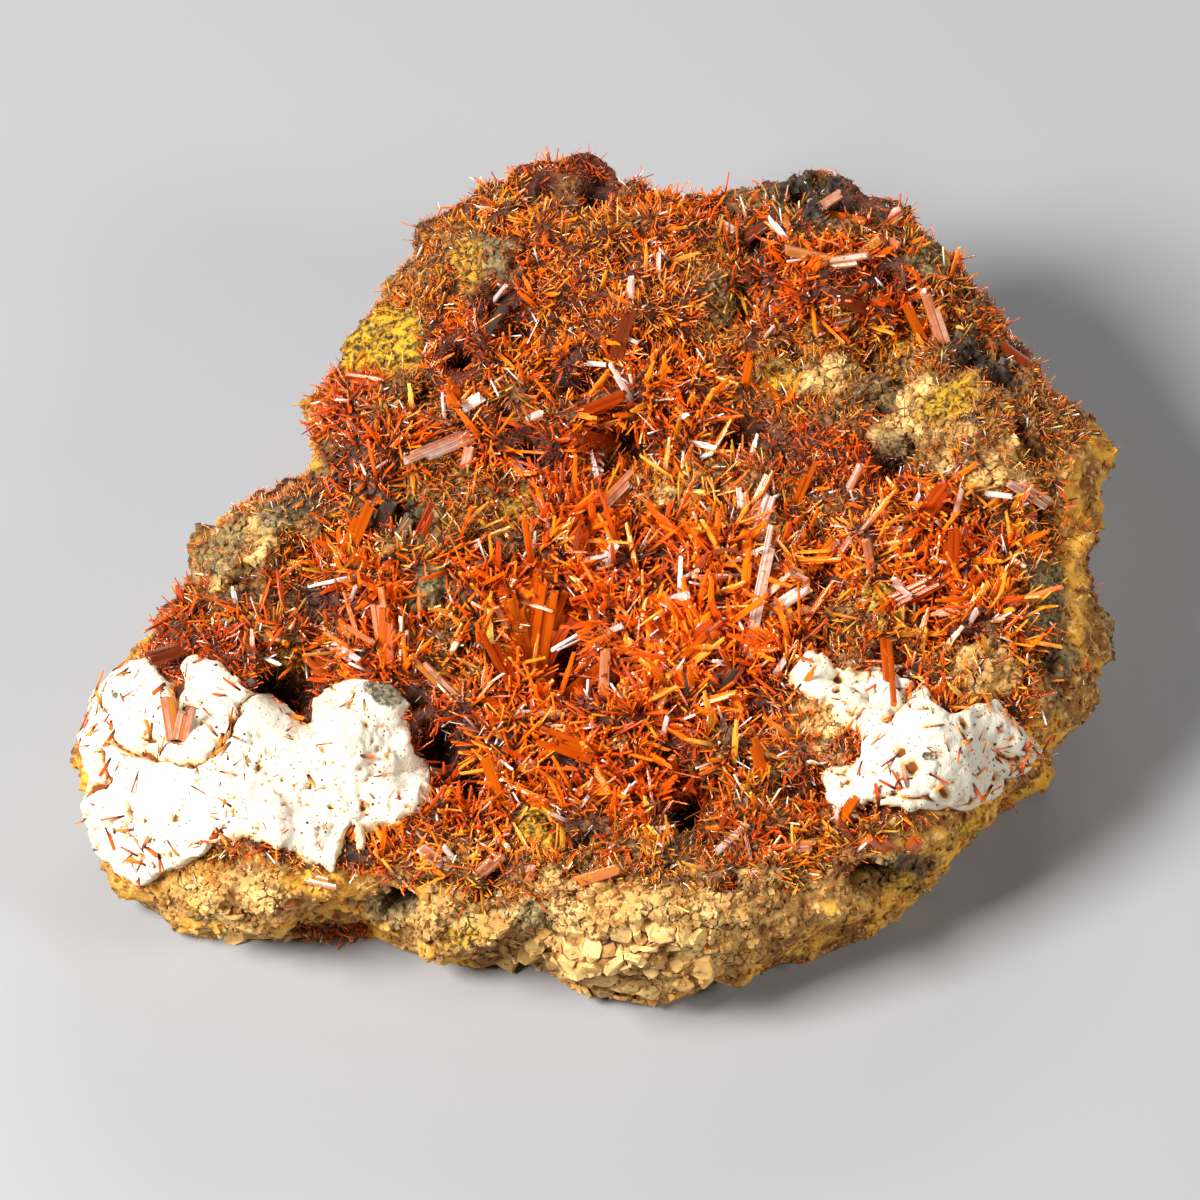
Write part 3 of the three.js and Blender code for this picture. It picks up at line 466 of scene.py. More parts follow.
class Tree(Net):
    """The inputs are the geometry, the material, the numbers and the others, which come with their kind.
    """

    def __init__(self, name, numbers, **others):
        super().__init__(bpy.data.node_groups.new(name, "GeometryNodeTree"))
        interface = self.tree.interface
        kinds = {"Geometry": "Geometry", "Material": "Material", **dict.fromkeys(numbers, "Float"), **others}
        for label, kind in kinds.items():
            interface.new_socket(label, in_out="INPUT", socket_type=f"NodeSocket{kind}")
        interface.new_socket("Geometry", in_out="OUTPUT", socket_type="NodeSocketGeometry")
        self.given = self.add("NodeGroupInput")

    def attribute(self, name):
        return self.add("GeometryNodeInputNamedAttribute", None, {"Name": name})["Attribute"]

    def random(self, low, high, seed):
        """A random number for each element; the seed may be a wire."""
        inputs = {"Min": low, "Max": high, "Seed": seed}
        return self.add("FunctionNodeRandomValue", {"data_type": "FLOAT"}, inputs)["Value"]

    def turn(self, rotation, axis, angle):
        """A rotation turned about one of its own axes."""
        by = self.add("FunctionNodeAxisAngleToRotation", None, {"Axis": axis, "Angle": angle})["Rotation"]
        inputs = {"Rotation": rotation, "Rotate By": by}
        return self.add("FunctionNodeRotateRotation", {"rotation_space": "LOCAL"}, inputs)["Rotation"]

    def strew(self, shapes, amount, scale, lean, seed, clumps=None, apart=None):
        """Strews shapes over the given surface, each leaning from its normal and turned at random.

        The amount is a number on each square millimetre, or the share of the places that are taken
        where the shapes are kept apart. With the size of clumps given, the shapes lean away from the
        middle of their clump.
        """
        full = 1 / MM**2  # one on each square millimetre
        if apart:
            method = "POISSON"
            inputs = {"Distance Min": apart, "Density Max": full, "Density Factor": amount}
        else:
            method = "RANDOM"
            inputs = {"Density": amount * full}
        inputs |= {"Mesh": self.given["Geometry"], "Seed": seed}
        spread = self.add("GeometryNodeDistributePointsOnFaces", {"distribute_method": method}, inputs)
        side = self.add(
            "FunctionNodeRandomValue",
            {"data_type": "FLOAT_VECTOR"},
            {"Min": (-1, -1, -1), "Max": (1, 1, 1), "Seed": seed + 1},
        )["Value"]
        if clumps:
            place = self.add("GeometryNodeInputPosition")["Position"]
            middle = self.cells(place, clumps)["Position"]
            outward = self.vector("NORMALIZE", self.vector("SUBTRACT", place, middle))
            side = self.vector("ADD", self.vector("SCALE", outward, OUTWARD_PULL), side)
        normal = spread["Normal"]
        upright = self.vector("DOT_PRODUCT", side, normal, output="Value")
        side = self.vector("SUBTRACT", side, self.vector("SCALE", normal, upright))
        side = self.vector("NORMALIZE", side)
        angle = self.random(*lean, seed + 2)
        direction = self.vector(
            "ADD",
            self.vector("SCALE", normal, self.math("COSINE", angle)),
            self.vector("SCALE", side, self.math("SINE", angle)),
        )
        rotation = self.add("FunctionNodeAlignRotationToVector", {"axis": "Z"}, {"Vector": direction})
        rotation = self.turn(rotation["Rotation"], (0, 0, 1), self.random(0, 2 * math.pi, seed + 3))
        inputs = {"Collection": shapes, "Separate Children": True, "Reset Children": True}
        shape = self.add("GeometryNodeCollectionInfo", None, inputs)["Instances"]
        inputs = {
            "Points": spread["Points"], "Instance": shape, "Pick Instance": True,
            "Rotation": rotation, "Scale": scale,
        }
        return self.add("GeometryNodeInstanceOnPoints", None, inputs)["Instances"]

    def mark(self, instances, **values):
        """Stores a value by name on each instance."""
        for name, value in values.items():
            inputs = {"Geometry": instances, "Name": name, "Value": value}
            settings = {"data_type": "FLOAT", "domain": "INSTANCE"}
            instances = self.add("GeometryNodeStoreNamedAttribute", settings, inputs)["Geometry"]
        return instances

    def finish(self, geometry, material):
        """Realizes the instances, sets the material and closes the tree."""
        real = self.add("GeometryNodeRealizeInstances", None, {"Geometry": geometry})["Geometry"]
        done = self.add("GeometryNodeSetMaterial", None, {"Geometry": real, "Material": material})
        self.add("NodeGroupOutput", None, {"Geometry": done["Geometry"]})
        return self.tree


def between(share, low, high):
    """The value, or the wire of it, a share of the way from low to high."""
    return share * (high - low) + low


def labelled(settings):
    """The values of a group of settings by the labels that the inputs of a tree have."""
    names = type(settings).__annotations__
    return {name.capitalize().replace("_", " "): getattr(settings, name) for name in names}


def run_tree(obj, tree, values):
    """Replaces an object's mesh by what a geometry tree makes of it, given its inputs by label."""
    modifier = obj.modifiers.new(tree.name, "NODES")
    modifier.node_group = tree
    for item in tree.interface.items_tree:
        if item.in_out == "INPUT" and item.name in values:
            modifier[item.identifier] = values[item.name]
    settle(obj)


def settle(obj):
    """Replaces an object's mesh by its evaluated one and removes its modifiers."""
    graph = bpy.context.evaluated_depsgraph_get()
    mesh = bpy.data.meshes.new_from_object(
        obj.evaluated_get(graph), preserve_all_data_layers=True, depsgraph=graph
    )
    obj.modifiers.clear()
    old = obj.data
    obj.data = mesh
    mesh.name = obj.name
    bpy.data.meshes.remove(old)


# ---- Meshes ---------------------------------------------------------------------------------------


def show(name, mesh):
    obj = bpy.data.objects.new(name, mesh)
    bpy.context.scene.collection.objects.link(obj)
    return obj


def piece(obj, slot, *nodes):
    """Makes an object a piece of the specimen that stands for some nodes of the model."""
    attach(obj, "root")
    if nodes:
        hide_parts(*nodes)


def gather(items, name, width):
    """A row of numbers for each item of a mesh's collection."""
    values = np.zeros(len(items) * width, np.float32)
    items.foreach_get(name, values)
    return values.reshape(-1, width)


def points_of(mesh):
    return gather(mesh.vertices, "co", 3)


def normals_of(mesh):
    return gather(mesh.vertex_normals, "vector", 3)


def stored(mesh, names):
    """The values of some point attributes of a mesh, by name."""
    return {name: gather(mesh.attributes[name].data, "value", 1)[:, 0] for name in names}


def store(mesh, **attributes):
    """Stores point attributes of a mesh."""
    for name, values in attributes.items():
        layer = mesh.attributes.get(name) or mesh.attributes.new(name, "FLOAT", "POINT")
        layer.data.foreach_set("value", np.asarray(values, np.float32))


class Heap:
    """Points, faces and point values that become one mesh."""

    def __init__(self):
        self.points = []
        self.faces = []
        self.values = {}
        self.count = 0

    def add(self, points, faces, **values):
        self.points.append(points)
        self.faces.extend([[i + self.count for i in face] for face in faces])
        for name, value in values.items():
            self.values.setdefault(name, []).append(np.broadcast_to(value, len(points)))
        self.count += len(points)

    def mesh(self, name):
        mesh = bpy.data.meshes.new(name)
        mesh.from_pydata(np.concatenate(self.points).tolist(), [], self.faces)
        store(mesh, **{k: np.concatenate(v) for k, v in self.values.items()})
        return mesh


def quads_of(mesh):
    return np.array([p.vertices[:] for p in mesh.polygons if len(p.vertices) == 4])


def mesh_part(name, points, faces, values):
    """A mesh of some of the faces, with the point values of their corners."""
    used, index = np.unique(faces, return_inverse=True)
    part = bpy.data.meshes.new(name)
    part.from_pydata(points[used].tolist(), [], index.reshape(faces.shape).tolist())
    store(part, **{k: v[used] for k, v in values.items()})
    return part


def prototypes(name, shapes):
    """A collection of small shapes to be repeated. Each is a list of solids with an offset and scale."""
    group = bpy.data.collections.new(name)
    bpy.context.scene.collection.children.link(group)
    for i, parts in enumerate(shapes):
        heap = Heap()
        for (points, faces, values), offset, scale in parts:
            heap.add(points * scale + offset, faces, **values)
        group.objects.link(bpy.data.objects.new(f"{name}_{i}", heap.mesh(f"{name}_{i}")))
    return group


def discard(collections):
    """Removes collections of prototypes."""
    for group in collections:
        for shape in list(group.objects):
            bpy.data.objects.remove(shape)
        bpy.data.collections.remove(group)


def lattice_noise(points, size, seed=0.0):
    """Smooth noise from -1 to 1 with features about size across, for each row of points."""
    places = points / size
    cell = np.floor(places)
    share = places - cell
    share = share * share * (3 - 2 * share)
    axes = np.array([127.1, 311.7, 74.7])[: points.shape[1]]
    total = np.zeros(len(points))
    for corner in itertools.product((0, 1), repeat=points.shape[1]):
        weight = np.prod(np.where(corner, share, 1 - share), axis=1)
        total += weight * (np.sin((cell + corner) @ axes + seed) * 43758.5453 % 1)
    return 2 * total - 1


def soft_step(values, low, high):
    share = np.clip((values - low) / (high - low), 0, 1)
    return share * share * (3 - 2 * share)


# ---- Places on the rock ---------------------------------------------------------------------------


def drawing_uv(points):
    """u and v, in millimetres, of points in metres."""
    mm = points / MM
    v = (mm[:, 1] - PLANE_ORIGIN[1]) * UPWARD + mm[:, 2] * ACROSS
    return np.column_stack((mm[:, 0] - PLANE_ORIGIN[0], v))


def plane_point(u, v):
    """The point at z = 0 on the viewing line of u, v."""
    return Vector((u + PLANE_ORIGIN[0], v / UPWARD + PLANE_ORIGIN[1], 0)) * MM


class RockSurface:
    """The finished rock, looked at along the viewing lines."""

    REACH = 0.3  # metres from z = 0 to where a viewing line starts, well above the rock
    MIDDLE = 15 * MM  # height near which the rock's edge is looked for

    def __init__(self, mesh):
        faces = [p.vertices[:] for p in mesh.polygons]
        self.tree = BVHTree.FromPolygons(points_of(mesh).tolist(), faces)

    def at(self, u, v):
        """Place and normal of the rock that shows at u, v, or the nearest of them past its edge."""
        start = plane_point(u, v) + self.REACH * TO_VIEWER
        place, normal, _, _ = self.tree.ray_cast(start, -TO_VIEWER)
        if place is None:
            middle = plane_point(u, v) + self.MIDDLE / UPWARD * TO_VIEWER
            place, normal, _, _ = self.tree.find_nearest(middle)
        return place, normal

    def above(self, u, v, rise):
        """The point of the viewing line of u, v that lies rise millimetres higher than the rock."""
        return self.at(u, v)[0] + TO_VIEWER * (rise * MM / UPWARD)


def find_rock():
    rock = bpy.data.objects.get(ROCK_NAME)
    if rock is None:
        raise RuntimeError("build the rock first")
    return rock


def ellipse_field(uv, u, v, half_width, half_height, turn, fade=0.35):
    """1 inside a ragged ellipse and 0 outside, fading over its edge."""
    a = math.radians(turn)
    along = ((uv[:, 0] - u) * math.cos(a) + (uv[:, 1] - v) * math.sin(a)) / half_width
    across = ((uv[:, 1] - v) * math.cos(a) - (uv[:, 0] - u) * math.sin(a)) / half_height
    radius = np.hypot(along, across) + 0.3 * lattice_noise(uv, 4, u) + 0.22 * lattice_noise(uv, 1.7, v)
    return 1 - soft_step(radius, 1 - fade, 1 + fade)


def outline_depth(uv, outline):
    """How far inside an outline each point is, in millimetres, and below 0 outside."""
    ends = np.array(outline)
    starts = np.roll(ends, 1, axis=0)
    inside = np.zeros(len(uv), bool)
    nearest = np.full(len(uv), np.inf)
    for a, b in zip(starts, ends):
        nearest = np.minimum(nearest, segment_distance(uv, a, b))
        crosses = (a[1] > uv[:, 1]) != (b[1] > uv[:, 1])
        rise = (uv[:, 1] - a[1]) / (b[1] - a[1] if b[1] != a[1] else 1)
        inside ^= crosses & (uv[:, 0] < a[0] + rise * (b[0] - a[0]))
    return np.where(inside, nearest, -nearest)


def segment_distance(uv, a, b):
    """Distance of each point from the line between a and b."""
    a, b = np.array(a), np.array(b)
    along = b - a
    share = np.clip((uv - a) @ along / max(along @ along, 1e-9), 0, 1)
    return np.hypot(*(uv - a - share[:, None] * along).T)


# ---- Finishes -------------------------------------------------------------------------------------

# The stops from 0.87 up are painted light: pink is red under a painted sheen, and pale and white are painted
# glints.
CRYSTAL_SCALE = [
    (0.0, (0.05, 0.04, 0.032)), (0.1, (0.12, 0.042, 0.018)), (0.22, (0.30, 0.048, 0.012)),
    (0.38, (0.58, 0.062, 0.004)), (0.52, (0.88, 0.11, 0.003)), (0.66, (1.0, 0.20, 0.004)),
    (0.79, (1.0, 0.39, 0.025)), (0.87, (0.88, 0.24, 0.09)), (0.94, (0.94, 0.56, 0.38)),
    (1.0, (1.0, 0.95, 0.88)),
]
GOLDEN_SCALE = [
    (0.0, (0.07, 0.022, 0.004)), (0.3, (0.36, 0.12, 0.010)), (0.6, (0.82, 0.34, 0.025)),
    (0.8, (0.98, 0.58, 0.10)), (1.0, (1.0, 0.88, 0.55)),
]
GLOSS_TINT = (1, 0.78, 0.58)  # of what the facets of a crystal mirror
# Painted shade: towards its root a crystal's colour is darkened, in place of the shade that falls down among
# the crystals.
ROOT_PAINTED_SHADE = (0.07, 0.02, 0.012)  # what a crystal's colour is multiplied by at its root
GLINT_GLOW = 4.0  # times more painted glow the palest crystals give, as painted glints


def crystal_finish(name, transmission, settings, glow=1):
    """Glassy red lead chromate, striated lengthwise; its tone is its place on the colour scale.

    The glow is how many times brighter its painted glow is than a needle's: emission that stands in
    for the light that it lets through. Towards each crystal's root the colour is darkened as painted
    shade, and the palest tones glow more as painted glints.
    """
    shader = Shader(
        name, IOR=settings.index, Specular_Tint=GLOSS_TINT, Transmission_Weight=transmission,
        Emission_Strength=settings.glow * glow,
    )
    along = shader.attribute("along")
    lengthwise = shader.combined(X=shader.attribute("ridge"), Y=along * 1.5)
    striae = shader.noise(lengthwise, 0.35, 3, 0.6)
    blotches = shader.noise(shader.place, 1.6 * MM, 3)
    tone = shader.attribute("tone") + (blotches - 0.5) * 0.12 + (striae - 0.5) * 0.3
    red = shader.add("ShaderNodeValToRGB", {"stops": CRYSTAL_SCALE}, {"Fac": tone})["Color"]
    golden = shader.add("ShaderNodeValToRGB", {"stops": GOLDEN_SCALE}, {"Fac": tone})["Color"]
    colour = shader.mix(shader.attribute("golden"), red, golden)
    # Painted shade: darker towards each crystal's root.
    root_shaded = shader.fade(along, -0.02, 0.75, shader.shade(colour, ROOT_PAINTED_SHADE), colour)
    # Painted glints: the palest tones glow several times more.
    painted_glow = shader.fade(tone, 0.86, 0.98, root_shaded, shader.vector("SCALE", root_shaded, GLINT_GLOW))
    roughness = 0.05 + shader.noise(shader.place, 0.9 * MM, 2) * 0.12 + striae * 0.08
    dull = 1 - shader.step(tone, 0.06, 0.16)
    shader.show(
        Base_Color=root_shaded, Emission_Color=painted_glow, Roughness=roughness + dull * 0.45,
        Normal=shader.bump(striae, 0.05 * MM),
    )
    return shader.material


def rock_colour(shader):
    """The colours of the ironstone by its zones, for the rock and for the grains on it."""
    place = shader.place
    coarse = shader.noise(place, 7 * MM, 4, 0.6)
    fine = shader.noise(place, 1.1 * MM, 4, 0.65)
    ochre = shader.fade(coarse, 0.38, 0.6, (0.28, 0.10, 0.012), (0.86, 0.42, 0.035))
    ochre = shader.fade(fine, 0.5, 0.72, ochre, (0.90, 0.60, 0.20))
    ochre = shader.fade(fine, 0.3, 0.44, shader.vector("SCALE", ochre, 0.25), ochre)
    tan = shader.fade(coarse, 0.4, 0.65, (0.62, 0.35, 0.09), (0.90, 0.61, 0.22))
    tan = shader.fade(fine, 0.28, 0.5, (0.30, 0.13, 0.025), tan)
    # Dark brown ironstone under the crystals, darkened to near black as painted shade between them.
    colour = shader.fade(fine, 0.3, 0.7, (0.018, 0.004, 0.0015), (0.12, 0.024, 0.005))
    zones = {
        "gold": shader.fade(fine, 0.38, 0.68, (0.05, 0.016, 0.003), (0.58, 0.27, 0.045)),
        "wall": ochre,
        "tan": tan,
        "olive": shader.fade(fine, 0.38, 0.66, (0.09, 0.064, 0.022), (0.36, 0.27, 0.11)),
        "dark": shader.fade(fine, 0.42, 0.75, (0.016, 0.012, 0.009), (0.11, 0.085, 0.05)),
        "yellow": shader.fade(fine, 0.38, 0.58, (0.07, 0.035, 0.002), (0.68, 0.37, 0.008)),
    }
    for zone, its_colour in zones.items():
        colour = shader.mix(shader.attribute(zone), colour, its_colour)
    # Painted shade: near black in the pits and in the gaps between clumps.
    return shader.mix(shader.attribute("pit") * 0.9, colour, (0.014, 0.004, 0.002)), coarse, fine


def rock_finish(settings):
    """Limonite and gossan, crackled where it is tan."""
    shader = Shader("Ironstone")
    colour, coarse, fine = rock_colour(shader)
    edges = shader.cells(shader.place, settings.plate_size, "DISTANCE_TO_EDGE")["Distance"]
    brittle = shader.attribute("tan") * shader.step(coarse, 0.42, 0.58)
    crack = 1 - brittle * (1 - shader.step(edges, 0.02, 0.07))
    gaps = shader.attribute("plates") * 0.8  # the ground that shows between the plates
    colour = shader.mix(gaps, colour, shader.shade(colour, (0.45, 0.26, 0.12)))
    colour = shader.mix(crack, shader.shade(colour, (0.12, 0.08, 0.05)), colour)
    height = fine * 0.5 + crack * 0.5 + coarse
    shader.show(Base_Color=colour, Roughness=0.7 + fine * 0.25, Normal=shader.bump(height, 0.6 * MM))
    return shader.material


def grain_finish():
    """Crumbs of the same rock, each a little lighter or darker than the next."""
    shader = Shader("Ironstone crumbs")
    colour, _, fine = rock_colour(shader)
    colour = shader.mix(shader.attribute("tone"), shader.shade(colour, (0.62, 0.5, 0.38)), colour)
    shader.show(Base_Color=colour, Roughness=0.45 + fine * 0.35, Normal=shader.bump(fine, 0.2 * MM))
    return shader.material


def crust_finish(settings):
    """Chalky white crust with dark specks, cream in its hollows and along its edges."""
    shader = Shader("White crust", Specular_IOR_Level=0.25)
    place = shader.place
    soft = shader.noise(place, 4 * MM, 4, 0.6)
    fine = shader.noise(place, 0.7 * MM, 3, 0.6)
    hollow = shader.attribute("hollow")
    colour = shader.fade(soft * 0.6 + hollow, 0.36, 1.0, settings.white, settings.cream)
    rusty = shader.noise(place, 1.5 * MM, 4, 0.7)
    rust = shader.step(rusty + hollow * 0.12, 0.6, 0.68) * 0.85
    colour = shader.mix(rust, colour, (0.62, 0.19, 0.025))
    colour = shader.fade(hollow, 0.55, 0.85, colour, (0.20, 0.055, 0.010))
    grey = shader.fade(fine, 0.35, 0.65, (0.05, 0.042, 0.028), (0.30, 0.25, 0.16))
    colour = shader.fade(shader.attribute("stain") + (rusty - 0.5) * 1.2, 0.4, 0.6, colour, grey)
    sparse = shader.step(shader.noise(place, 3.5 * MM, 3), 0.32, 0.54)
    for spacing, width in ((0.85 * MM, 0.2), (2.1 * MM, 0.14)):
        specks = shader.cells(place, spacing)["Distance"]
        speck = (1 - shader.step(specks, width * 0.6, width)) * sparse
        colour = shader.mix(speck, colour, (0.08, 0.032, 0.010))
    shader.show(Base_Color=colour, Roughness=0.75 + fine * 0.2, Normal=shader.bump(fine + soft, 0.2 * MM))
    return shader.material


# ---- Settings -------------------------------------------------------------------------------------


def length(name, description, default):
    return FloatProperty(name=name, description=description, default=default, unit="LENGTH", precision=4)


def number(name, description, default):
    return FloatProperty(name=name, description=description, default=default, precision=3)


def colour(name, description, default):
    return FloatVectorProperty(name=name, description=description, default=default, subtype="COLOR")


class RockSettings(bpy.types.PropertyGroup):
    """Sizes of the rock's relief."""

    mesh_size: length("Mesh size", "Edge length of the rock's mesh", 0.8 * MM)
    clump_size: length("Clump size", "Distance between clumps of small crystals", 5.5 * MM)
    clump_height: length("Clump height", "How far a clump of small crystals stands out", 3 * MM)
    plate_size: length("Plate size", "Size of the crackled plates of tan rock", 2.4 * MM)
    ledge_size: length("Ledge size", "Size of the lumps and ledges of the side walls", 8 * MM)
    ledge_height: length("Ledge height", "Depth of the lumps and ledges of the side walls", 7.5 * MM)
    grit_height: length("Grit height", "Depth of the finest relief", 0.9 * MM)
    pit_depth: length("Pit depth", "Depth of the hollows between the crystals", 6.5 * MM)


class CrystalSettings(bpy.types.PropertyGroup):
    """Sizes, number and gloss of the crystals."""

    fuzz_density: number("Finest needles", "Finest needles on a square millimetre", 3.7)
    needle_density: number("Needles", "Needles on a square millimetre", 1.7)
    prism_density: number("Prisms", "Stout prisms on a square millimetre", 0.2)
    fuzz_length: length("Finest length", "Greatest length of the finest needles", 2.8 * MM)
    needle_length: length("Needle length", "Greatest length of the needles", 6.2 * MM)
    prism_length: length("Prism length", "Greatest length of the stout prisms", 11 * MM)
    index: number("Index of refraction", "Sets how much the facets mirror", 1.75)
    # Painted glow: emission that stands in for the light that the thin crystals let through.
    glow: number("Glow", "Light let through the thin crystals", 0.05)
    seed: IntProperty(name="Seed", description="Start of the random numbers", default=7)


class CrustSettings(bpy.types.PropertyGroup):
    """Sizes and colours of the white crusts."""

    thickness: length("Thickness", "Thickness of a crust", 2.1 * MM)
    mesh_size: length("Mesh size", "Spacing of a crust's mesh", 0.3 * MM)
    sliver_density: number("Slivers", "Slivers of crystal on a square millimetre", 0.14)
    sliver_length: length("Sliver length", "Greatest length of the slivers", 3.6 * MM)
    white: colour("White", "Colour of the crust", (0.73, 0.67, 0.53))
    cream: colour("Cream", "Colour of its edges and hollows", (0.74, 0.55, 0.26))


class GrainSettings(bpy.types.PropertyGroup):
    """Number and sizes of the crumbs of rock."""

    crumb_density: number("Crumbs", "Crumbs on a square millimetre of bare rock", 1.4)
    crumb_size: length("Crumb size", "Greatest size of a crumb", 1.5 * MM)
    plate_spacing: length("Plate spacing", "Least distance between the middles of plates", 2.7 * MM)
    plate_size: length("Plate size", "Greatest size of a plate", 4.6 * MM)


class StageSettings(bpy.types.PropertyGroup):
    """Camera, lights and floor."""

    distance: length("Distance", "Distance of the camera", 3.0)
    width: length("Width", "Width of the view at the specimen", 0.174)
    floor: colour("Floor", "Colour of the floor", (0.34, 0.34, 0.345))


class SpecimenSettings(bpy.types.PropertyGroup):
    """All settings of the specimen."""

    rock: PointerProperty(type=RockSettings, name="Rock", description="Relief of the rock")
    crystals: PointerProperty(type=CrystalSettings, name="Crystals", description="The crystals")
    crust: PointerProperty(type=CrustSettings, name="Crusts", description="The white crusts")
    grains: PointerProperty(type=GrainSettings, name="Crumbs", description="The crumbs of rock")
    stage: PointerProperty(type=StageSettings, name="Stage", description="Camera, lights and floor")


# ---- Rock -----------------------------------------------------------------------------------------

ROCK_NAME = "ironstone_matrix"
CRUST_MARGIN = 0.4  # millimetres by which the relief and crystals stay inside a crust's outline


def merged_copy(node):
    """A copy of a node's mesh with its loose triangles joined."""
    points = points_of(frame["nodes"][node].data)
    places, index = np.unique(np.round(points, 7), axis=0, return_inverse=True)
    index = index.reshape(-1)
    faces = [[index[i] for i in p.vertices] for p in frame["nodes"][node].data.polygons]
    mesh = bpy.data.meshes.new(node + "_copy")
    mesh.from_pydata(places.tolist(), [], [f for f in faces if len(set(f)) == 3])
    return mesh


# Relief that has no setting, in millimetres.
PLATE_HEIGHT = 1.4  # how far the plates of tan rock stand out
BEAD_SIZE, BEAD_HEIGHT = 1.9, 1.6  # beads of yellow rock
SWELL_SIZE, SWELL_HEIGHT = 11, 1.6  # gentle swells everywhere
GRIT_SIZE = 2.2
LEDGE_FLATNESS = 1.6  # how many times wider than high the ledges are


def rock_relief():
    """Lumps and ledges: clumps under the crystals, plates where it is tan, ledges on the walls."""
    tree = Tree("Rock relief", (
        "Clump size", "Clump height", "Plate size", "Ledge size", "Ledge height", "Grit height", "Pit depth",
    ))
    given = tree.given
    place = tree.add("GeometryNodeInputPosition")["Position"]
    normal = tree.add("GeometryNodeInputNormal")["Normal"]
    zones = ("needles", "tan", "wall", "pit", "yellow")
    needles, tan, wall, pit, yellow = (tree.attribute(name) for name in zones)
    clumps = tree.cells(place, given["Clump size"])["Distance"]
    plates = tree.cells(place, given["Plate size"])["Distance"]
    beads = tree.cells(place, BEAD_SIZE * MM)["Distance"]
    flat = tree.vector("MULTIPLY", place, (1, 1, LEDGE_FLATNESS))
    ledges = tree.noise(flat, given["Ledge size"], 4, 0.6)
    bulges = tree.cells(flat, given["Ledge size"])["Distance"]
    swell = tree.noise(place, SWELL_SIZE * MM, 2)
    grit = tree.noise(place, GRIT_SIZE * MM, 3, 0.65)
    height = (0.45 - clumps) * needles * given["Clump height"]
    height = height + (0.4 - plates) * tan * PLATE_HEIGHT * MM
    height = height + (0.5 - beads) * yellow * BEAD_HEIGHT * MM
    height = height + (ledges - 0.5) * (0.15 + wall) * given["Ledge height"]
    height = height + (0.5 - bulges) * wall * 0.35 * given["Ledge height"]
    height = height + (swell - 0.5) * SWELL_HEIGHT * MM
    height = height + (grit - 0.5) * (1 + pit) * given["Grit height"]
    height = (height - pit * given["Pit depth"]) * tree.attribute("free")
    moved = tree.add(
        "GeometryNodeSetPosition",
        None,
        {"Geometry": given["Geometry"], "Offset": tree.vector("SCALE", normal, height)},
    )["Geometry"]
    smooth = tree.add("GeometryNodeSetShadeSmooth", None, {"Geometry": moved})["Geometry"]
    return tree.finish(smooth, given["Material"])


def zone_field(uv, ellipses):
    """The strongest of some ragged ellipses at each point."""
    field = np.zeros(len(uv))
    for *ellipse, strength in ellipses:
        field = np.maximum(field, strength * ellipse_field(uv, *ellipse))
    return field


def blended_field(uv, value, ellipses):
    """A value that each ragged ellipse changes to its own."""
    field = np.full(len(uv), value)
    for *ellipse, its_value in ellipses:
        field += (its_value - field) * ellipse_field(uv, *ellipse)
    return field


def near_edge(mm, sectors=180, reach=10):
    """1 near the rock's outline as seen from above, and 0 more than a reach inside it."""
    radius = np.hypot(mm[:, 0], mm[:, 1])
    sector = (np.arctan2(mm[:, 1], mm[:, 0]) / (2 * math.pi) % 1 * sectors).astype(int)
    furthest = np.zeros(sectors + 1)
    np.maximum.at(furthest, sector, radius)
    return 1 - soft_step(furthest[sector] - radius, 0.6 * reach, reach)


# Patches on the hidden walls: zone, size in millimetres, seed, strength.
WALL_PATCHES = [("tan", 9, 5.0, 0.7), ("dark", 10, 11.0, 0.7), ("olive", 7, 12.0, 0.8)]
HANG_HEIGHT = 31  # millimetres above which the druse hangs over the back edge
HANG_FADE = 12  # millimetres over which it thins out


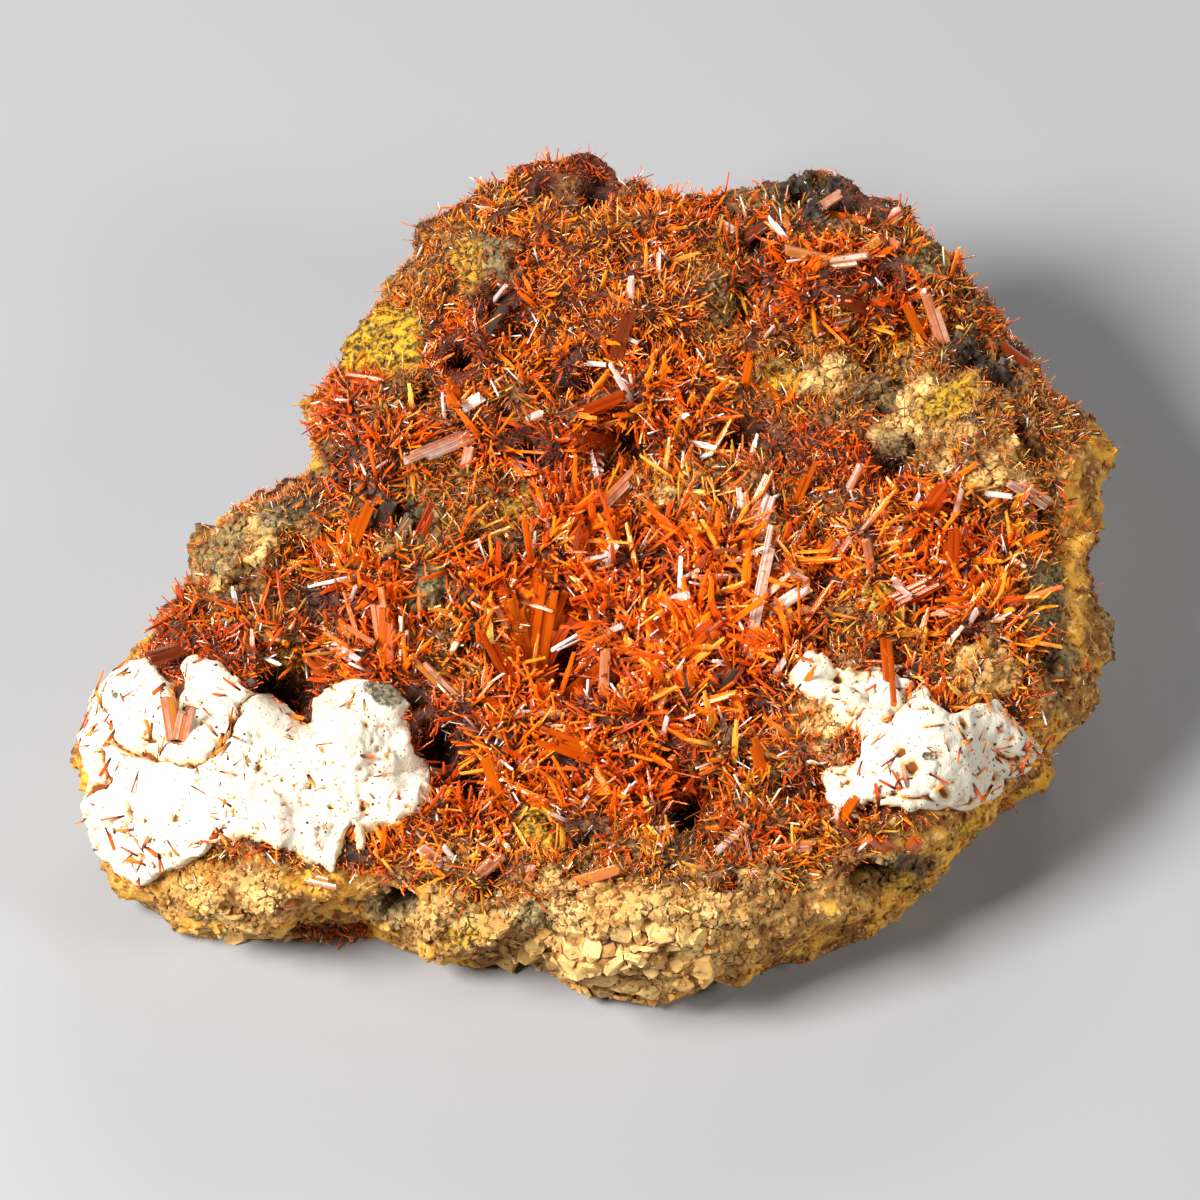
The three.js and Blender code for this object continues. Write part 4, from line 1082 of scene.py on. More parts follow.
def mark_zones(mesh):
    """Stores what the rock's surface is like at each point and how many crystals grow on it."""
    points, normals = points_of(mesh), normals_of(mesh)
    mm = points / MM
    uv = drawing_uv(points)
    up, height = normals[:, 2], mm[:, 2]
    facing = soft_step(normals @ np.array(TO_VIEWER), -0.05, 0.3)
    zones = {kind: zone_field(uv, ellipses) * facing for kind, ellipses in ZONES.items()}
    covered = np.maximum(outline_depth(uv, LEFT_CRUST), outline_depth(uv, RIGHT_CRUST))
    under_crust = soft_step(covered, CRUST_MARGIN, 3 * CRUST_MARGIN) * facing
    wall = np.maximum(soft_step(-up, -0.55, -0.2) * near_edge(mm), zones.pop("ochre"))
    wall = np.maximum(wall, soft_step(-up, 0, 0.3))
    hanging = lattice_noise(mm, 8, 4.0) + (height - HANG_HEIGHT) / HANG_FADE
    wall *= 1 - 0.9 * (soft_step(hanging, 0.1, 0.7) * (1 - facing))
    behind = wall * (1 - facing)
    vugs = soft_step(lattice_noise(mm, 6, 9.0), 0.25, 0.6) * soft_step(height, 4, 9) * behind
    for kind, size, seed, amount in WALL_PATCHES:
        patches = amount * soft_step(lattice_noise(mm, size, seed), 0.25, 0.6) * behind
        zones[kind] = np.maximum(zones[kind], patches)
    mottled = soft_step(zones["tan"] + 0.5 * lattice_noise(mm, 2.4, 7.0), 0.3, 0.75)
    zones["plates"] *= soft_step(zones["plates"] + 0.3 * lattice_noise(uv, 3, 8.0), 0.3, 0.6)
    zones["tan"] = np.maximum(mottled, zones["plates"])
    growing = (1 - wall) * (1 - zones["tan"]) * (1 - under_crust)
    gaps = soft_step(lattice_noise(mm, 3.6, 2.0), 0.25, 0.55) * growing
    hollows = np.maximum(zones["pit"], 0.6 * vugs) * (1 - under_crust)
    # The gaps between clumps join the pits: sunk, and painted near black as painted shade.
    zones["pit"] = np.maximum(hollows, 0.42 * gaps)
    bare = np.maximum.reduce([
        0.93 * zones["tan"], zones["yellow"], 0.75 * zones["dark"], 0.95 * zones["olive"],
        0.75 * hollows, 0.8 * gaps,
    ])
    # Rims round the pits, where crystals grow shorter and take a darker tone as painted shade of the hollows.
    rims = [(u, v, 1.3 * w + 1, 1.3 * h + 1, turn, share) for u, v, w, h, turn, share in ZONES["pit"]]
    beside = zone_field(uv, rims) * facing
    edge = 1 - soft_step(normals @ np.array(TO_VIEWER), 0, 0.6)
    grown = np.maximum(1 - wall, 0.8 * vugs)
    warmth = blended_field(uv, WARMTH, WARM_ZONES) + 0.12 * lattice_noise(uv, 7, 3.0) - 0.15 * wall
    store(
        mesh, wall=wall, warmth=warmth - 0.25 * beside, crusted=under_crust,
        needles=grown * (1 - bare) * (1 - under_crust) * soft_step(up, -0.85, -0.6),
        coarse=blended_field(uv, COARSENESS, COARSE_ZONES) * (1 - wall),
        short=np.maximum.reduce([0.35 * zones["gold"], 0.55 * beside, 0.6 * edge]),
        free=soft_step(height, 0.3, 3) * (1 - 0.75 * under_crust), **zones,
    )


def keep_on_floor(mesh):
    """Lifts whatever would reach below the floor up to it."""
    points = points_of(mesh)
    points[:, 2] = np.maximum(points[:, 2], 0)
    mesh.vertices.foreach_set("co", points.ravel())
    mesh.update()


class CROCOITE_OT_rock(bpy.types.Operator):
    """Build the ironstone matrix"""

    bl_idname = "crocoite.rock"
    bl_label = "Rock"

    def execute(self, context):
        settings = context.scene.crocoite.rock
        rock = show(ROCK_NAME, merged_copy("matrix_rock"))
        remesh = rock.modifiers.new("Even mesh", "REMESH")
        remesh.mode = "VOXEL"
        remesh.voxel_size = settings.mesh_size
        settle(rock)
        mark_zones(rock.data)
        run_tree(rock, rock_relief(), {**labelled(settings), "Material": rock_finish(settings)})
        keep_on_floor(rock.data)
        piece(rock, "matrix", "matrix_rock")
        return {"FINISHED"}


# ---- Crystals -------------------------------------------------------------------------------------

# The small crystals: shapes, shortest as a share of the longest, width as a share of the longest,
# least and greatest lean from the surface's normal, clumps they lean away from, and the shares of
# the density and of the length that are reached on fine and on coarse ground.
CRYSTAL_SIZES = [
    ("Fuzz", 0.45, 0.07, (0.2, 1.4), 1, (1.1, 0.25), (0.8, 1)),
    ("Needle", 0.4, 0.07, (0.35, 1.4), 1.5, (0.42, 1), (0.6, 1)),
    ("Prism", 0.45, 0.1, (0.5, 1.4), 2.6, (0.06, 1), (0.5, 1)),
]
OUTWARD_PULL = 0.6  # how strongly crystals lean away from the middle of their clump
GOLDEN_SHARE = 0.65  # share of the crystals that are golden on golden ground
DULL_SHARE = 0.16  # share of the crystals that are brown
DULL_TONE = 0.28  # how much lower their tone is
GLINT_SHARE = 0.045  # share of the crystals given the palest tones as painted glints
TONE_SPREAD = 0.16  # how far a crystal's tone may be from the warmth of its ground
WARMEST = 0.82  # highest tone of a crystal that isn't a painted glint
SIZE_SEEDS, GROUP_SEEDS = 100, 10  # from the seed of one size, or one group, to that of the next
BLADE_SPLITS = (1.2, 2, 2.7)  # widths, in millimetres, past which a blade is one prism more
BLADE_ROOT = -1.2  # millimetres from the rock's surface to a blade's root
TWIN_ROOT = 1.2  # the same for the twin blades, which stand on the crust
BLADE_TRANSMISSION = 0.12  # share of the light that passes through a blade
TWIN_TRANSMISSION = 0.1
# Blades take more of the painted glow that stands in for light let through.
BLADE_GLOW = 2.5  # how many times a needle's glow a blade has


def ridges(sides):
    """A value for each corner of a prism's section that rises and falls once round it."""
    return np.minimum(np.arange(sides), sides - np.arange(sides))


def prism_shape(sides, slant, taper, turn, root=-0.12, bend=0.0):
    """Points, faces and point values of a closed prism one unit long and one wide."""
    angles = turn + 2 * math.pi * np.arange(sides) / sides
    ring = 0.5 * np.column_stack((np.cos(angles), np.sin(angles)))
    rings = [np.column_stack((ring, np.full(sides, root)))]
    if bend:
        rings.append(np.column_stack((ring + (bend, 0), np.full(sides, 0.5))))
    rings.append(np.column_stack((taper * ring, 1 - slant * (ring[:, 0] + 0.5))))
    faces = [tuple(reversed(range(sides)))]
    for low in range(0, sides * (len(rings) - 1), sides):
        for i in range(sides):
            a, b = low + i, low + (i + 1) % sides
            faces.append((a, b, b + sides, a + sides))
    points = np.concatenate(rings)
    faces.append(tuple(range(len(points) - sides, len(points))))
    return points, faces, {"along": points[:, 2], "ridge": np.tile(ridges(sides), len(rings))}


def crystal_shapes():
    """The shapes that the small crystals repeat: fine needles, needles and stout prisms."""
    whole, middle = (1, 1, 1), (0, 0, 0)
    fuzz = [
        [(prism_shape(3, slant, taper, turn, bend=bend), middle, whole)]
        for slant, taper, turn, bend in ((0.05, 0.8, 0, 0), (0.2, 0.5, 1, 0), (0.1, 0.9, 2, 2.2))
    ]
    needles = [
        [(prism_shape(4, slant, taper, turn), middle, (1, flat, 1))]
        for slant, taper, turn, flat in (
            (0.02, 1, 0, 0.9), (0.07, 1, 0.4, 0.75), (0.15, 0.9, 0, 1), (0.05, 0.6, 0, 0.8),
        )
    ]
    prisms = []
    for i in range(4):
        slant, turn = 0.02 + 0.02 * i, 0.3 * i
        core = (prism_shape(6, slant, 1, turn), middle, (0.62, 0.5, 1))
        left = (prism_shape(5, 0.06, 1, turn + 1), (-0.28, 0.05, 0), (0.42, 0.44, 0.84 - 0.04 * i))
        right = (prism_shape(5, 0.04, 1, turn), (0.27, -0.04, 0), (0.46, 0.4, 0.7 + 0.06 * i))
        prisms.append([core, left, right])
    return {"Fuzz": fuzz, "Needle": needles, "Prism": prisms}


def crystal_tree():
    """Three sizes of crystal scattered on a surface, leaning outwards from the middle of each clump."""
    sizes = [size for size, *_ in CRYSTAL_SIZES]
    numbers = [f"{size} {measure}" for size in sizes for measure in ("density", "length")]
    tree = Tree("Crystal growth", ["Clump size", *numbers], Seed="Int", **dict.fromkeys(sizes, "Collection"))
    grown = [small_crystals(tree, SIZE_SEEDS * i, *row) for i, row in enumerate(CRYSTAL_SIZES)]
    joined = tree.add("GeometryNodeJoinGeometry", None, {"Geometry": grown})["Geometry"]
    return tree.finish(joined, tree.given["Material"])


def small_crystals(tree, offset, size, shortest, slender, lean, clump, densities, lengths):
    """One size of crystal on a surface."""
    given = tree.given
    seed = given["Seed"] + offset
    coarse, golden = tree.attribute("coarse"), tree.attribute("gold")
    density = given[size + " density"] * tree.attribute("needles") * between(coarse, *densities)
    longest = given[size + " length"] * between(coarse, *lengths) * (1 - tree.attribute("short"))
    share = tree.random(0, 1, seed + 4)
    reach = longest * (shortest + (1 - shortest) * share * share)
    width = longest * slender * tree.random(0.65, 1.3, seed + 5)
    scale = tree.combined(X=width, Y=width, Z=reach)
    clumps = given["Clump size"] * clump
    placed = tree.strew(given[size], density, scale, lean, seed, clumps)
    tone = tree.attribute("warmth") + tree.random(-TONE_SPREAD, TONE_SPREAD, seed + 6)
    tone = tree.math("MINIMUM", tone, WARMEST)
    dull = tree.math("LESS_THAN", tree.random(0, 1, seed + 7), DULL_SHARE)
    # A few needles take the palest tones as painted glints.
    pale_glint = tree.math("LESS_THAN", tree.random(0, 1, seed + 8), GLINT_SHARE)
    tone = (tone - dull * DULL_TONE) * (1 - pale_glint) + pale_glint * tree.random(0.9, 1.1, seed + 9)
    gilded = tree.math("LESS_THAN", tree.random(0, 1, seed + 10), golden * GOLDEN_SHARE)
    return tree.mark(placed, tone=tone, golden=gilded)


def group_surfaces(mesh):
    """The parts of the rock's mesh that grow crystals, one mesh for each crystal group."""
    values = stored(mesh, ("needles", "warmth", "coarse", "short", "gold"))
    points = points_of(mesh)
    uv = drawing_uv(points)
    groups = np.array(list(CRYSTAL_GROUPS.values()))
    away = np.stack([np.hypot((uv[:, 0] - u) / w, (uv[:, 1] - v) / h) for u, v, w, h in groups])
    nearest = away.argmin(axis=0)
    faces = quads_of(mesh)
    faces = faces[values["needles"][faces].max(axis=1) > 0.01]
    for i, name in enumerate(CRYSTAL_GROUPS):
        yield name, mesh_part(name, points, faces[nearest[faces[:, 0]] == i], values)


def blade(heap, root, tip, width, tone, rng):
    """A larger crystal: a few parallel prisms grown into one striated blade with a stepped end."""
    axis = (tip - root).normalized()
    reach = (tip - root).length
    # The palest tones are painted glints; their facets are also turned to mirror the main light.
    bright = tone > TONES["pink_sheen"]
    side = axis.cross(GLINT if bright else TO_VIEWER).normalized()
    deep = axis.cross(side)
    turn = rng.uniform(-0.6, 0.6) * (0.1 if bright else 1)
    basis = np.array([
        side * math.cos(turn) + deep * math.sin(turn),
        deep * math.cos(turn) - side * math.sin(turn),
        axis,
    ])
    count = 1 + sum(width > split for split in BLADE_SPLITS)
    tallest = rng.integers(count)
    for i in range(count):
        across = ((i + 0.5) / count - 0.5) * width * MM
        inwards = rng.uniform(-0.1, 0.1) * width * MM
        points, faces, values = striated_prism(
            width * MM * rng.uniform(1, 1.6) / count, width * MM * rng.uniform(0.5, 1.1) / count**0.7,
            reach * (1 if i == tallest else rng.uniform(0.66, 0.98)), rng,
        )
        values["tone"] = np.clip(values["tone"] + tone + rng.uniform(-0.04, 0.04), 0, 1)
        heap.add((points + (across, inwards, 0)) @ basis + np.array(root), faces, **values)


def striated_prism(width, depth, reach, rng, sides=10):
    """Points, faces and point values of a flat-sided prism, lightly ridged, with a slanting end."""
    angles = 2 * math.pi * (np.arange(sides) + 0.5) / sides
    corners = np.column_stack((np.cos(angles), np.sin(angles)))
    corners = np.sign(corners) * np.abs(corners) ** 0.55 * (1 + 0.07 * rng.uniform(-1, 1, (sides, 1)))
    high = 0.9 * corners * (width / 2, depth / 2)
    points, faces, values = prism_shape(sides, 0, 1, 0, 0)
    points[:sides, :2] = corners * (width / 2, depth / 2)
    points[sides:, :2] = high
    worn = np.abs(high @ rng.uniform(-0.8, 0.8, 2)) + rng.uniform(0, 0.1, sides) * width
    points[sides:, 2] = reach - worn
    # A blade starts partway along, so the painted shade at its root darkens it less.
    values["along"] = 0.35 + 0.65 * values["along"]
    values["ridge"] = values["ridge"] + rng.uniform(0, 50)
    values["tone"] = np.tile(rng.uniform(-0.06, 0.06, sides), 2)
    return points, faces, values


def grow_blade(heap, surface, row, tone, rng, root=BLADE_ROOT):
    """Adds the blade of one row: root u, v, tip u, v, width, height of the tip above the rock.

    The root lies its millimetres above the rock.
    """
    u, v, tip_u, tip_v, width, rise = row
    place, normal = surface.at(u, v)
    blade(heap, place + normal * (root * MM), surface.above(tip_u, tip_v, rise), width, tone, rng)


def nearest_group(u, v):
    """The name of the crystal group whose mat u, v lies on or is nearest to."""
    return min(
        CRYSTAL_GROUPS,
        key=lambda name: math.hypot(
            (u - CRYSTAL_GROUPS[name][0]) / CRYSTAL_GROUPS[name][2],
            (v - CRYSTAL_GROUPS[name][1]) / CRYSTAL_GROUPS[name][3],
        ),
    )


def join(target, other):
    """Joins another object into the target's mesh."""
    with bpy.context.temp_override(
        active_object=target, object=target, selected_editable_objects=[target, other]
    ):
        bpy.ops.object.join()


class CROCOITE_OT_crystals(bpy.types.Operator):
    """Grow the crystal groups"""

    bl_idname = "crocoite.crystals"
    bl_label = "Crystal groups"

    def execute(self, context):
        settings = context.scene.crocoite.crystals
        rock = find_rock()
        surface = RockSurface(rock.data)
        rng = np.random.default_rng(settings.seed)
        heaps = {name: Heap() for name in CRYSTAL_GROUPS}
        for tone, rows in LARGE_CRYSTALS.items():
            for row in rows:
                grow_blade(heaps[nearest_group(*row[:2])], surface, row, TONES[tone], rng)
        blades = crystal_finish("Crocoite blades", BLADE_TRANSMISSION, settings, BLADE_GLOW)
        tree = crystal_tree()
        shapes = {size: prototypes(size, rows) for size, rows in crystal_shapes().items()}
        values = {
            **labelled(settings), **shapes, "Clump size": context.scene.crocoite.rock.clump_size,
            "Material": crystal_finish("Crocoite needles", 0.0, settings),
        }
        for i, (name, part) in enumerate(group_surfaces(rock.data)):
            druse = show(name + "_druse", part)
            run_tree(druse, tree, {**values, "Seed": settings.seed + GROUP_SEEDS * i})
            if heaps[name].count:
                large = show(name + "_large", heaps[name].mesh(name + "_large"))
                large.data.materials.append(blades)
                join(druse, large)
            keep_on_floor(druse.data)
            piece(druse, "crystal", name)
        discard(shapes.values())
        return {"FINISHED"}


class CROCOITE_OT_crust_twin(bpy.types.Operator):
    """Build the twin blades in the notch of the left crust"""

    bl_idname = "crocoite.crust_twin"
    bl_label = "Crust twin"

    def execute(self, context):
        settings = context.scene.crocoite.crystals
        surface = RockSurface(find_rock().data)
        rng = np.random.default_rng(settings.seed + 1)
        heap = Heap()
        for row in CRUST_TWIN:
            # Pink: red under a painted sheen.
            grow_blade(heap, surface, row, TONES["pink_sheen"], rng, TWIN_ROOT)
        twin = show("crust_twin_blades", heap.mesh("crust_twin_blades"))
        twin.data.materials.append(crystal_finish("Crocoite twin", TWIN_TRANSMISSION, settings))
        piece(twin, "crystal", "crust_twin_crystals")
        return {"FINISHED"}


# ---- Crusts ---------------------------------------------------------------------------------------

CRUST_EDGE = 0.8  # millimetres over which a crust rounds off towards its outline
CRUST_ROOT = 0.9  # millimetres that its edge goes down into the rock
CRUST_REACH = 1.2  # millimetres by which its mesh reaches past the outline
CRUST_SINK = 1.6  # millimetres from the rock's surface down to its underside
CRACK_DEPTH = 0.75  # share of the crust's thickness that a crack goes down
HOLE_DEPTH = 1.6  # how deep a hole is for its radius
PORES = 0.16  # small holes on a square millimetre


def crust_relief(name, uv, outline, thickness):
    """Height of a crust over the rock at points of the drawing plane, and what it is like there."""
    depth = outline_depth(uv, outline)
    for size, amount in ((2.6, 0.5), (1.3, 0.4), (0.6, 0.2)):
        depth = depth + amount * lattice_noise(uv, size, size)
    share = np.clip(depth / CRUST_EDGE, 0, 1)
    lobes = 1 + 0.25 * lattice_noise(uv, 6, 3.0) + 0.25 * lattice_noise(uv, 2.6, 4.0)
    height = (thickness * lobes + CRUST_ROOT) * np.sqrt(1 - (1 - share) ** 2) - CRUST_ROOT
    height += 0.24 * lattice_noise(uv, 1.3, 5.0) + 0.14 * lattice_noise(uv, 0.6, 8.0)
    hollow = 0.5 * (1 - soft_step(depth, 0.1, 1.2))
    shift = np.column_stack([lattice_noise(uv, 1.5, seed) for seed in (6.0, 7.0)])
    for width, line in CRUST_CRACKS[name]:
        for a, b in zip(line, line[1:]):
            cut = np.exp(-((segment_distance(uv + 0.5 * shift, a, b) / width) ** 2))
            height = height - CRACK_DEPTH * thickness * cut * (share > 0)
            hollow = np.maximum(hollow, cut)
    rng = np.random.default_rng(len(outline))
    low, high = np.min(outline, axis=0), np.max(outline, axis=0)
    pores = int(PORES * np.prod(high - low))
    pores = [(*rng.uniform(low, high), rng.triangular(0.15, 0.25, 0.4)) for _ in range(pores)]
    open_ground = 0.2 + 1.3 * soft_step(lattice_noise(uv, 4.5, 9.0), 0, 0.5) + 1.5 * (hollow > 0.3)
    ragged = uv + 0.35 * np.column_stack([lattice_noise(uv, 0.7, seed) for seed in (1.0, 2.0)])
    for u, v, radius in CRUST_HOLES[name] + pores:
        cut = np.exp(-((np.hypot(ragged[:, 0] - u, ragged[:, 1] - v) / radius) ** 4))
        height = height - HOLE_DEPTH * radius * cut
        hollow = np.maximum(hollow, cut * min(1, 0.5 + radius))
    values = {
        "hollow": np.clip(hollow, 0, 1), "open": open_ground * soft_step(depth, 0.3, 0.9),
        "stain": zone_field(uv, CRUST_STAINS),
    }
    return height, values


def crust_mesh(name, outline, surface, settings):
    """A closed slab that follows the rock, with its outline sunk into it."""
    step = settings.mesh_size / MM
    low = np.min(outline, axis=0) - CRUST_REACH
    high = np.max(outline, axis=0) + CRUST_REACH
    columns, rows = (np.ceil((high - low) / step).astype(int) + 1).tolist()
    grid = np.array([(low[0] + i * step, low[1] + j * step) for j in range(rows) for i in range(columns)])
    kept = outline_depth(grid, outline) > -CRUST_REACH
    base = np.zeros((len(grid), 3))
    normals = np.zeros((len(grid), 3))
    for i in np.flatnonzero(kept):
        base[i], normals[i] = surface.at(*grid[i])
    even, normals = smooth_grid(base, normals, kept, columns, rows)
    inner = soft_step(outline_depth(grid, outline), -0.6, 1)[:, None]
    base = even * inner + base * (1 - inner)
    height, values = crust_relief(name, grid, outline, settings.thickness / MM)
    sheets = np.concatenate((base + normals * (height * MM)[:, None], base - normals * CRUST_SINK * MM))
    values = {k: np.concatenate((v, 0 * v)) for k, v in values.items()}
    mesh = mesh_part(name, sheets, slab_faces(kept, columns, rows), values)
    mesh.shade_smooth()
    return mesh


def smooth_grid(base, normals, kept, columns, rows, passes=10):
    """Evens out the places and normals of the kept points of a grid."""
    weight = kept.astype(float).reshape(rows, columns, 1)
    fields = [base.reshape(rows, columns, 3) * weight, normals.reshape(rows, columns, 3) * weight]
    for _ in range(passes):
        total = weight.copy()
        sums = [f.copy() for f in fields]
        for axis, shift in itertools.product((0, 1), (-1, 1)):
            total += np.roll(weight, shift, axis)
            sums = [s + np.roll(f, shift, axis) for s, f in zip(sums, fields)]
        fields = [s / np.maximum(total, 1) * weight for s in sums]
    smooth_base, smooth_normals = (f.reshape(-1, 3) for f in fields)
    smooth_normals /= np.maximum(np.linalg.norm(smooth_normals, axis=1, keepdims=True), 1e-9)
    return smooth_base, smooth_normals


def slab_faces(kept, columns, rows):
    """Faces of a slab between two sheets of grid points, over the cells whose corners are all kept."""
    cells = {}
    for j, i in itertools.product(range(rows - 1), range(columns - 1)):
        a = j * columns + i
        corners = (a, a + 1, a + columns + 1, a + columns)
        if all(kept[c] for c in corners):
            cells[i, j] = corners
    below = len(kept)
    faces = []
    for (i, j), (a, b, c, d) in cells.items():
        faces.append((a, b, c, d))
        faces.append((d + below, c + below, b + below, a + below))
        edges = {(i, j - 1): (a, b), (i + 1, j): (b, c), (i, j + 1): (c, d), (i - 1, j): (d, a)}
        for beside, (p, q) in edges.items():
            if beside not in cells:
                faces.append((q, p, p + below, q + below))
    return np.array(faces)


def sliver_tree():
    """Slivers of crystal that lie on a crust or are half sunk in it."""
    tree = Tree("Slivers", ("Sliver density", "Sliver length"), Slivers="Collection")
    given = tree.given
    share = tree.random(0.45, 1, 4)
    reach = given["Sliver length"] * share * share
    width = given["Sliver length"] * tree.random(0.07, 0.22, 5) * share
    scale = tree.combined(X=width, Y=width, Z=reach)
    density = given["Sliver density"] * tree.attribute("open")
    placed = tree.strew(given["Slivers"], density, scale, (1.2, 1.6), 7)
    placed = tree.mark(placed, tone=tree.random(0.4, 0.85, 6))
    return tree.finish(placed, given["Material"])


class CROCOITE_OT_crusts(bpy.types.Operator):
    """Build the two white crusts"""

    bl_idname = "crocoite.crusts"
    bl_label = "White crusts"

    def execute(self, context):
        settings = context.scene.crocoite.crust
        surface = RockSurface(find_rock().data)
        material = crust_finish(settings)
        slivers = prototypes("Sliver", crystal_shapes()["Needle"])
        values = {
            **labelled(settings), "Slivers": slivers,
            "Material": crystal_finish("Crocoite slivers", 0.0, context.scene.crocoite.crystals),
        }
        tree = sliver_tree()
        for node, outline in (("white_crust_left", LEFT_CRUST), ("white_crust_right", RIGHT_CRUST)):
            crust = show(node + "_chalk", crust_mesh(node, outline, surface, settings))
            crust.data.materials.append(material)
            piece(crust, "crust", node)
            sunk = show(node + "_slivers", crust.data.copy())
            sunk.data.materials.clear()
            run_tree(sunk, tree, values)
            piece(sunk, "crystal")
        discard([slivers])
        return {"FINISHED"}


# ---- Crumbs of rock -------------------------------------------------------------------------------

FRONT_EDGE = -10  # v, in millimetres, that parts the crumbs of the front from those of the back
CRUMB_SEED = 11


def broken_shape(rng, sides, thickness, ragged):
    """A closed angular piece of rock one unit across: a squat prism with shifted corners."""
    points, faces, values = prism_shape(sides, 0.1, 0.8, rng.uniform(0, 3), 0)
    points[:, 2] = (points[:, 2] - 0.5) * thickness
    points[:, :2] *= np.tile(rng.uniform(1 - ragged, 1 + ragged, sides), 2)[:, None]
    points += rng.uniform(-0.3, 0.3, points.shape) * ragged
    return [((points, faces, values), (0, 0, 0), (1, 1, 1))]


def crumb_shapes():
    """Angular crumbs, and flat plates with a ragged outline."""
    rng = np.random.default_rng(3)
    crumbs = [broken_shape(rng, sides, 0.8, 0.3) for sides in (4, 5, 5, 4, 5, 4)]
    plates = [broken_shape(rng, sides, 0.2, 0.2) for sides in (7, 9, 6, 8, 7)]
    return crumbs, plates


def crumb_tree():
    """Crumbs and plates scattered over bare rock, each with its own shade."""
    numbers = ("Crumb density", "Plate spacing", "Crumb size", "Plate size")
    tree = Tree("Crumbs of rock", numbers, Crumbs="Collection", Plates="Collection", Seed="Int")
    given = tree.given
    seed = given["Seed"]
    share = tree.random(0, 1, seed + 4)
    scale = given["Crumb size"] * (0.3 + 0.7 * share * share)
    density = given["Crumb density"] * tree.attribute("bare")
    crumbs = tree.strew(given["Crumbs"], density, scale, (0, math.pi), seed)
    crumbs = tree.mark(crumbs, tone=tree.random(0, 0.8, seed + 5))
    scale = given["Plate size"] * tree.random(0.55, 1, seed + 14)
    taken, apart = tree.attribute("plates"), given["Plate spacing"]
    plates = tree.strew(given["Plates"], taken, scale, (0, 0.12), seed + 10, apart=apart)
    plates = tree.mark(plates, tone=tree.random(0.6, 1, seed + 15))
    joined = tree.add("GeometryNodeJoinGeometry", None, {"Geometry": [crumbs, plates]})["Geometry"]
    return tree.finish(joined, given["Material"])


def bare_surfaces(mesh):
    """The rock's mesh in two parts, front and back, with where crumbs and plates lie on it."""
    names = ("tan", "plates", "gold", "yellow", "olive", "dark", "wall", "pit", "crusted")
    values = stored(mesh, names)
    points = points_of(mesh)
    open_ground = soft_step(points[:, 2] / MM, 1.2, 2.5) * (1 - values.pop("crusted"))
    rough = np.maximum.reduce([
        values["tan"], 0.6 * values["yellow"], 0.5 * values["gold"], 0.9 * values["olive"],
        0.8 * values["dark"], 0.25 * values["wall"], np.full(len(points), 0.04),
    ])
    up = soft_step(normals_of(mesh)[:, 2], -0.75, -0.4)
    values["bare"] = rough * up * open_ground * (1 - 0.6 * values["pit"]) * (1 - 0.75 * values["plates"])
    faces = quads_of(mesh)
    front = drawing_uv(points)[faces[:, 0], 1] < FRONT_EDGE
    for name, chosen in (("rock_crumbs_front", front), ("rock_crumbs_back", ~front)):
        yield name, mesh_part(name, points, faces[chosen], values)


class CROCOITE_OT_crumbs(bpy.types.Operator):
    """Strew crumbs and plates over the bare rock"""

    bl_idname = "crocoite.crumbs"
    bl_label = "Crumbs of rock"

    def execute(self, context):
        settings = context.scene.crocoite.grains
        crumbs, plates = (prototypes(n, s) for n, s in zip(("crumb", "plate"), crumb_shapes()))
        tree = crumb_tree()
        values = {**labelled(settings), "Crumbs": crumbs, "Plates": plates, "Material": grain_finish()}
        for i, (name, surface) in enumerate(bare_surfaces(find_rock().data)):
            strewn = show(name, surface)
            run_tree(strewn, tree, {**values, "Seed": CRUMB_SEED + i})
            keep_on_floor(strewn.data)
            piece(strewn, "matrix")
        discard((crumbs, plates))
        return {"FINISHED"}


# ---- Stage ----------------------------------------------------------------------------------------

AIM = Vector((0.3, -10.1, 33)) * MM  # what the camera looks at
SENSOR = 36  # millimetres
NEAREST, FARTHEST = 0.1, 20  # metres that the camera sees from and to
FLOOR_REACH = 3  # metres from the middle of the floor to its sides
SKY_COLOUR = (1, 0.98, 0.95, 1)
SKY_STRENGTH = 0.008
# Lights: name, place from the aim, width, height, power, in metres and watts.
LIGHTS = [
    ("key", KEY_PLACE, 0.4, 0.4, 26),
    ("fill", (0.8, -0.4, 0.6), 0.3, 0.3, 5),
    ("back", (0.15, 0.8, 0.5), 0.5, 0.3, 3.5),
]


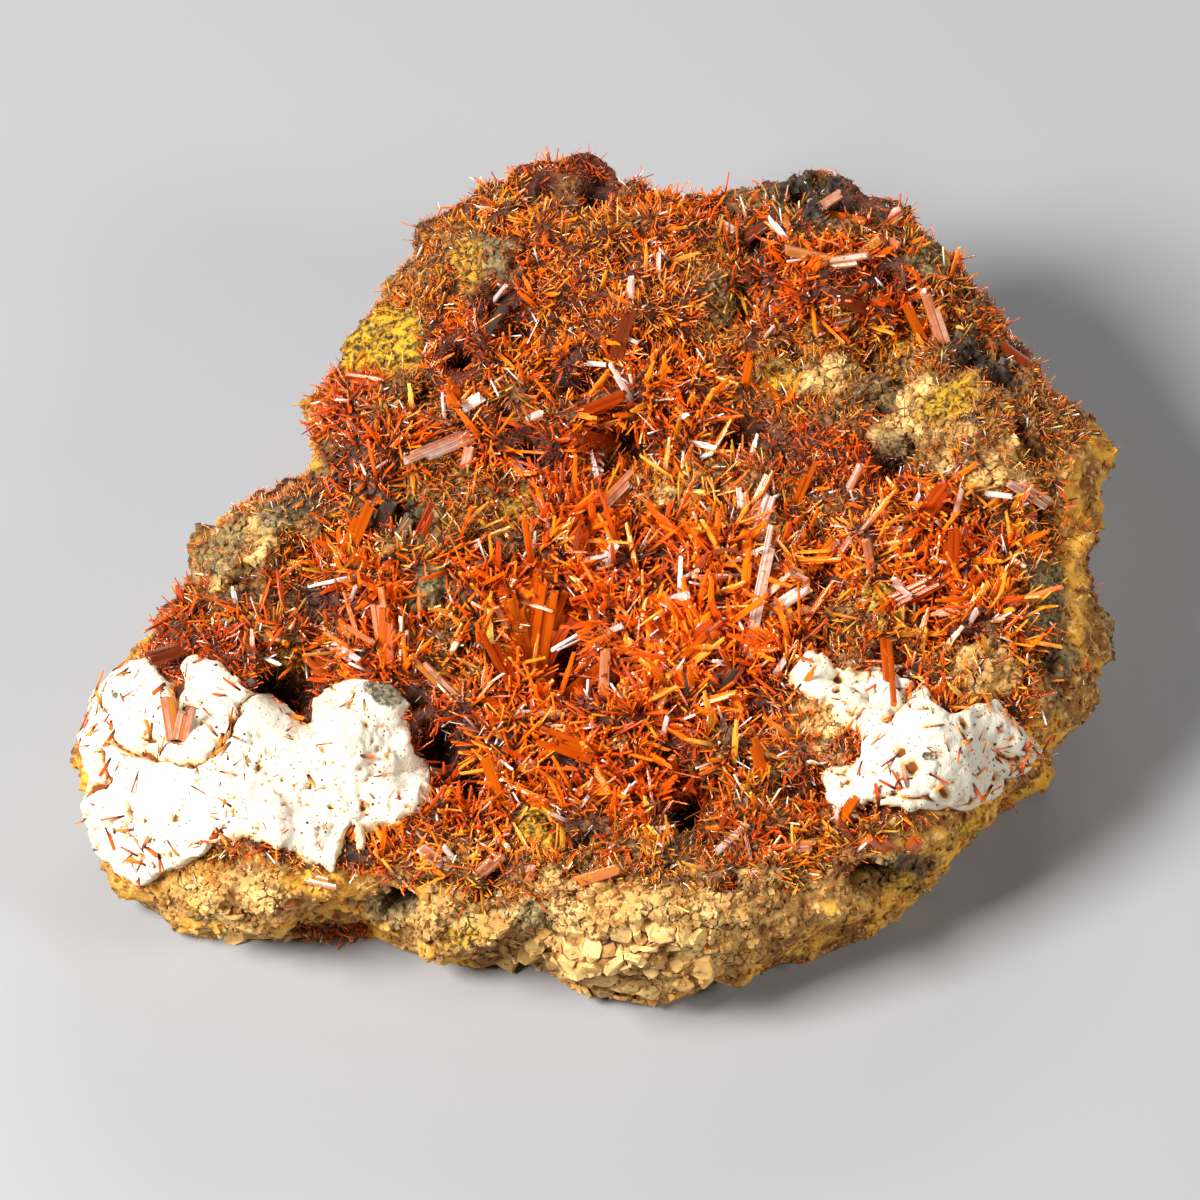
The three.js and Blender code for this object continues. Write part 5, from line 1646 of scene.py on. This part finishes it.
class CROCOITE_OT_stage(bpy.types.Operator):
    """Set up the floor, the lights and the camera"""

    bl_idname = "crocoite.stage"
    bl_label = "Stage"

    def execute(self, context):
        settings = context.scene.crocoite.stage
        self.add_camera(context.scene, settings)
        for row in LIGHTS:
            self.add_light(*row)
        self.add_floor(settings)
        world = bpy.data.worlds.new("Studio")
        world.use_nodes = True
        sky = world.node_tree.nodes["Background"].inputs
        sky["Color"].default_value = SKY_COLOUR
        sky["Strength"].default_value = SKY_STRENGTH
        context.scene.world = world
        context.scene.view_settings.view_transform = "Standard"
        return {"FINISHED"}

    def add_camera(self, scene, settings):
        data = bpy.data.cameras.new("Camera")
        data.sensor_width = SENSOR
        data.lens = SENSOR * settings.distance / settings.width
        data.clip_start = NEAREST
        data.clip_end = FARTHEST
        camera = show("Camera", data)
        camera.location = AIM + settings.distance * TO_VIEWER
        camera.rotation_euler = (math.pi / 2 - VIEW_RISE, 0, 0)
        scene.camera = camera

    def add_light(self, name, place, width, height, power):
        data = bpy.data.lights.new(name, "AREA")
        data.shape = "RECTANGLE"
        data.size = width
        data.size_y = height
        data.energy = power
        light = show(name, data)
        light.location = AIM + Vector(place)
        light.rotation_euler = (-Vector(place)).to_track_quat("-Z", "Y").to_euler()

    def add_floor(self, settings):
        mesh = bpy.data.meshes.new("floor")
        corners = [(x * FLOOR_REACH, y * FLOOR_REACH, 0) for x, y in ((-1, -1), (1, -1), (1, 1), (-1, 1))]
        mesh.from_pydata(corners, [], [(0, 1, 2, 3)])
        shader = Shader("Floor", Roughness=0.8, Specular_IOR_Level=0.2)
        shader.show(Base_Color=tuple(settings.floor))
        mesh.materials.append(shader.material)
        show("floor", mesh)


# ---- Panel and registration -----------------------------------------------------------------------

OPERATORS = (
    CROCOITE_OT_rock, CROCOITE_OT_crystals, CROCOITE_OT_crust_twin, CROCOITE_OT_crusts,
    CROCOITE_OT_crumbs, CROCOITE_OT_stage,
)


class CROCOITE_PT_specimen(bpy.types.Panel):
    """The specimen's pieces, in the order in which they are built"""

    bl_idname = "CROCOITE_PT_specimen"
    bl_label = "Crocoite Specimen"
    bl_space_type = "VIEW_3D"
    bl_region_type = "UI"
    bl_category = "Crocoite"

    def draw(self, context):
        for operator in OPERATORS:
            self.layout.operator(operator.bl_idname)
        for group in SpecimenSettings.__annotations__:
            settings = getattr(context.scene.crocoite, group)
            box = self.layout.box()
            for name in type(settings).__annotations__:
                box.prop(settings, name)


CLASSES = (
    RockSettings, CrystalSettings, CrustSettings, GrainSettings, StageSettings, SpecimenSettings,
    *OPERATORS, CROCOITE_PT_specimen,
)


def register():
    for cls in CLASSES:
        bpy.utils.register_class(cls)
    bpy.types.Scene.crocoite = PointerProperty(type=SpecimenSettings)


def unregister():
    del bpy.types.Scene.crocoite
    for cls in reversed(CLASSES):
        bpy.utils.unregister_class(cls)


def main():
    register()
    bpy.ops.crocoite.rock()
    bpy.ops.crocoite.crystals()
    bpy.ops.crocoite.crust_twin()
    bpy.ops.crocoite.crusts()
    bpy.ops.crocoite.crumbs()
    bpy.ops.crocoite.stage()


if __name__ == "__main__":
    main()
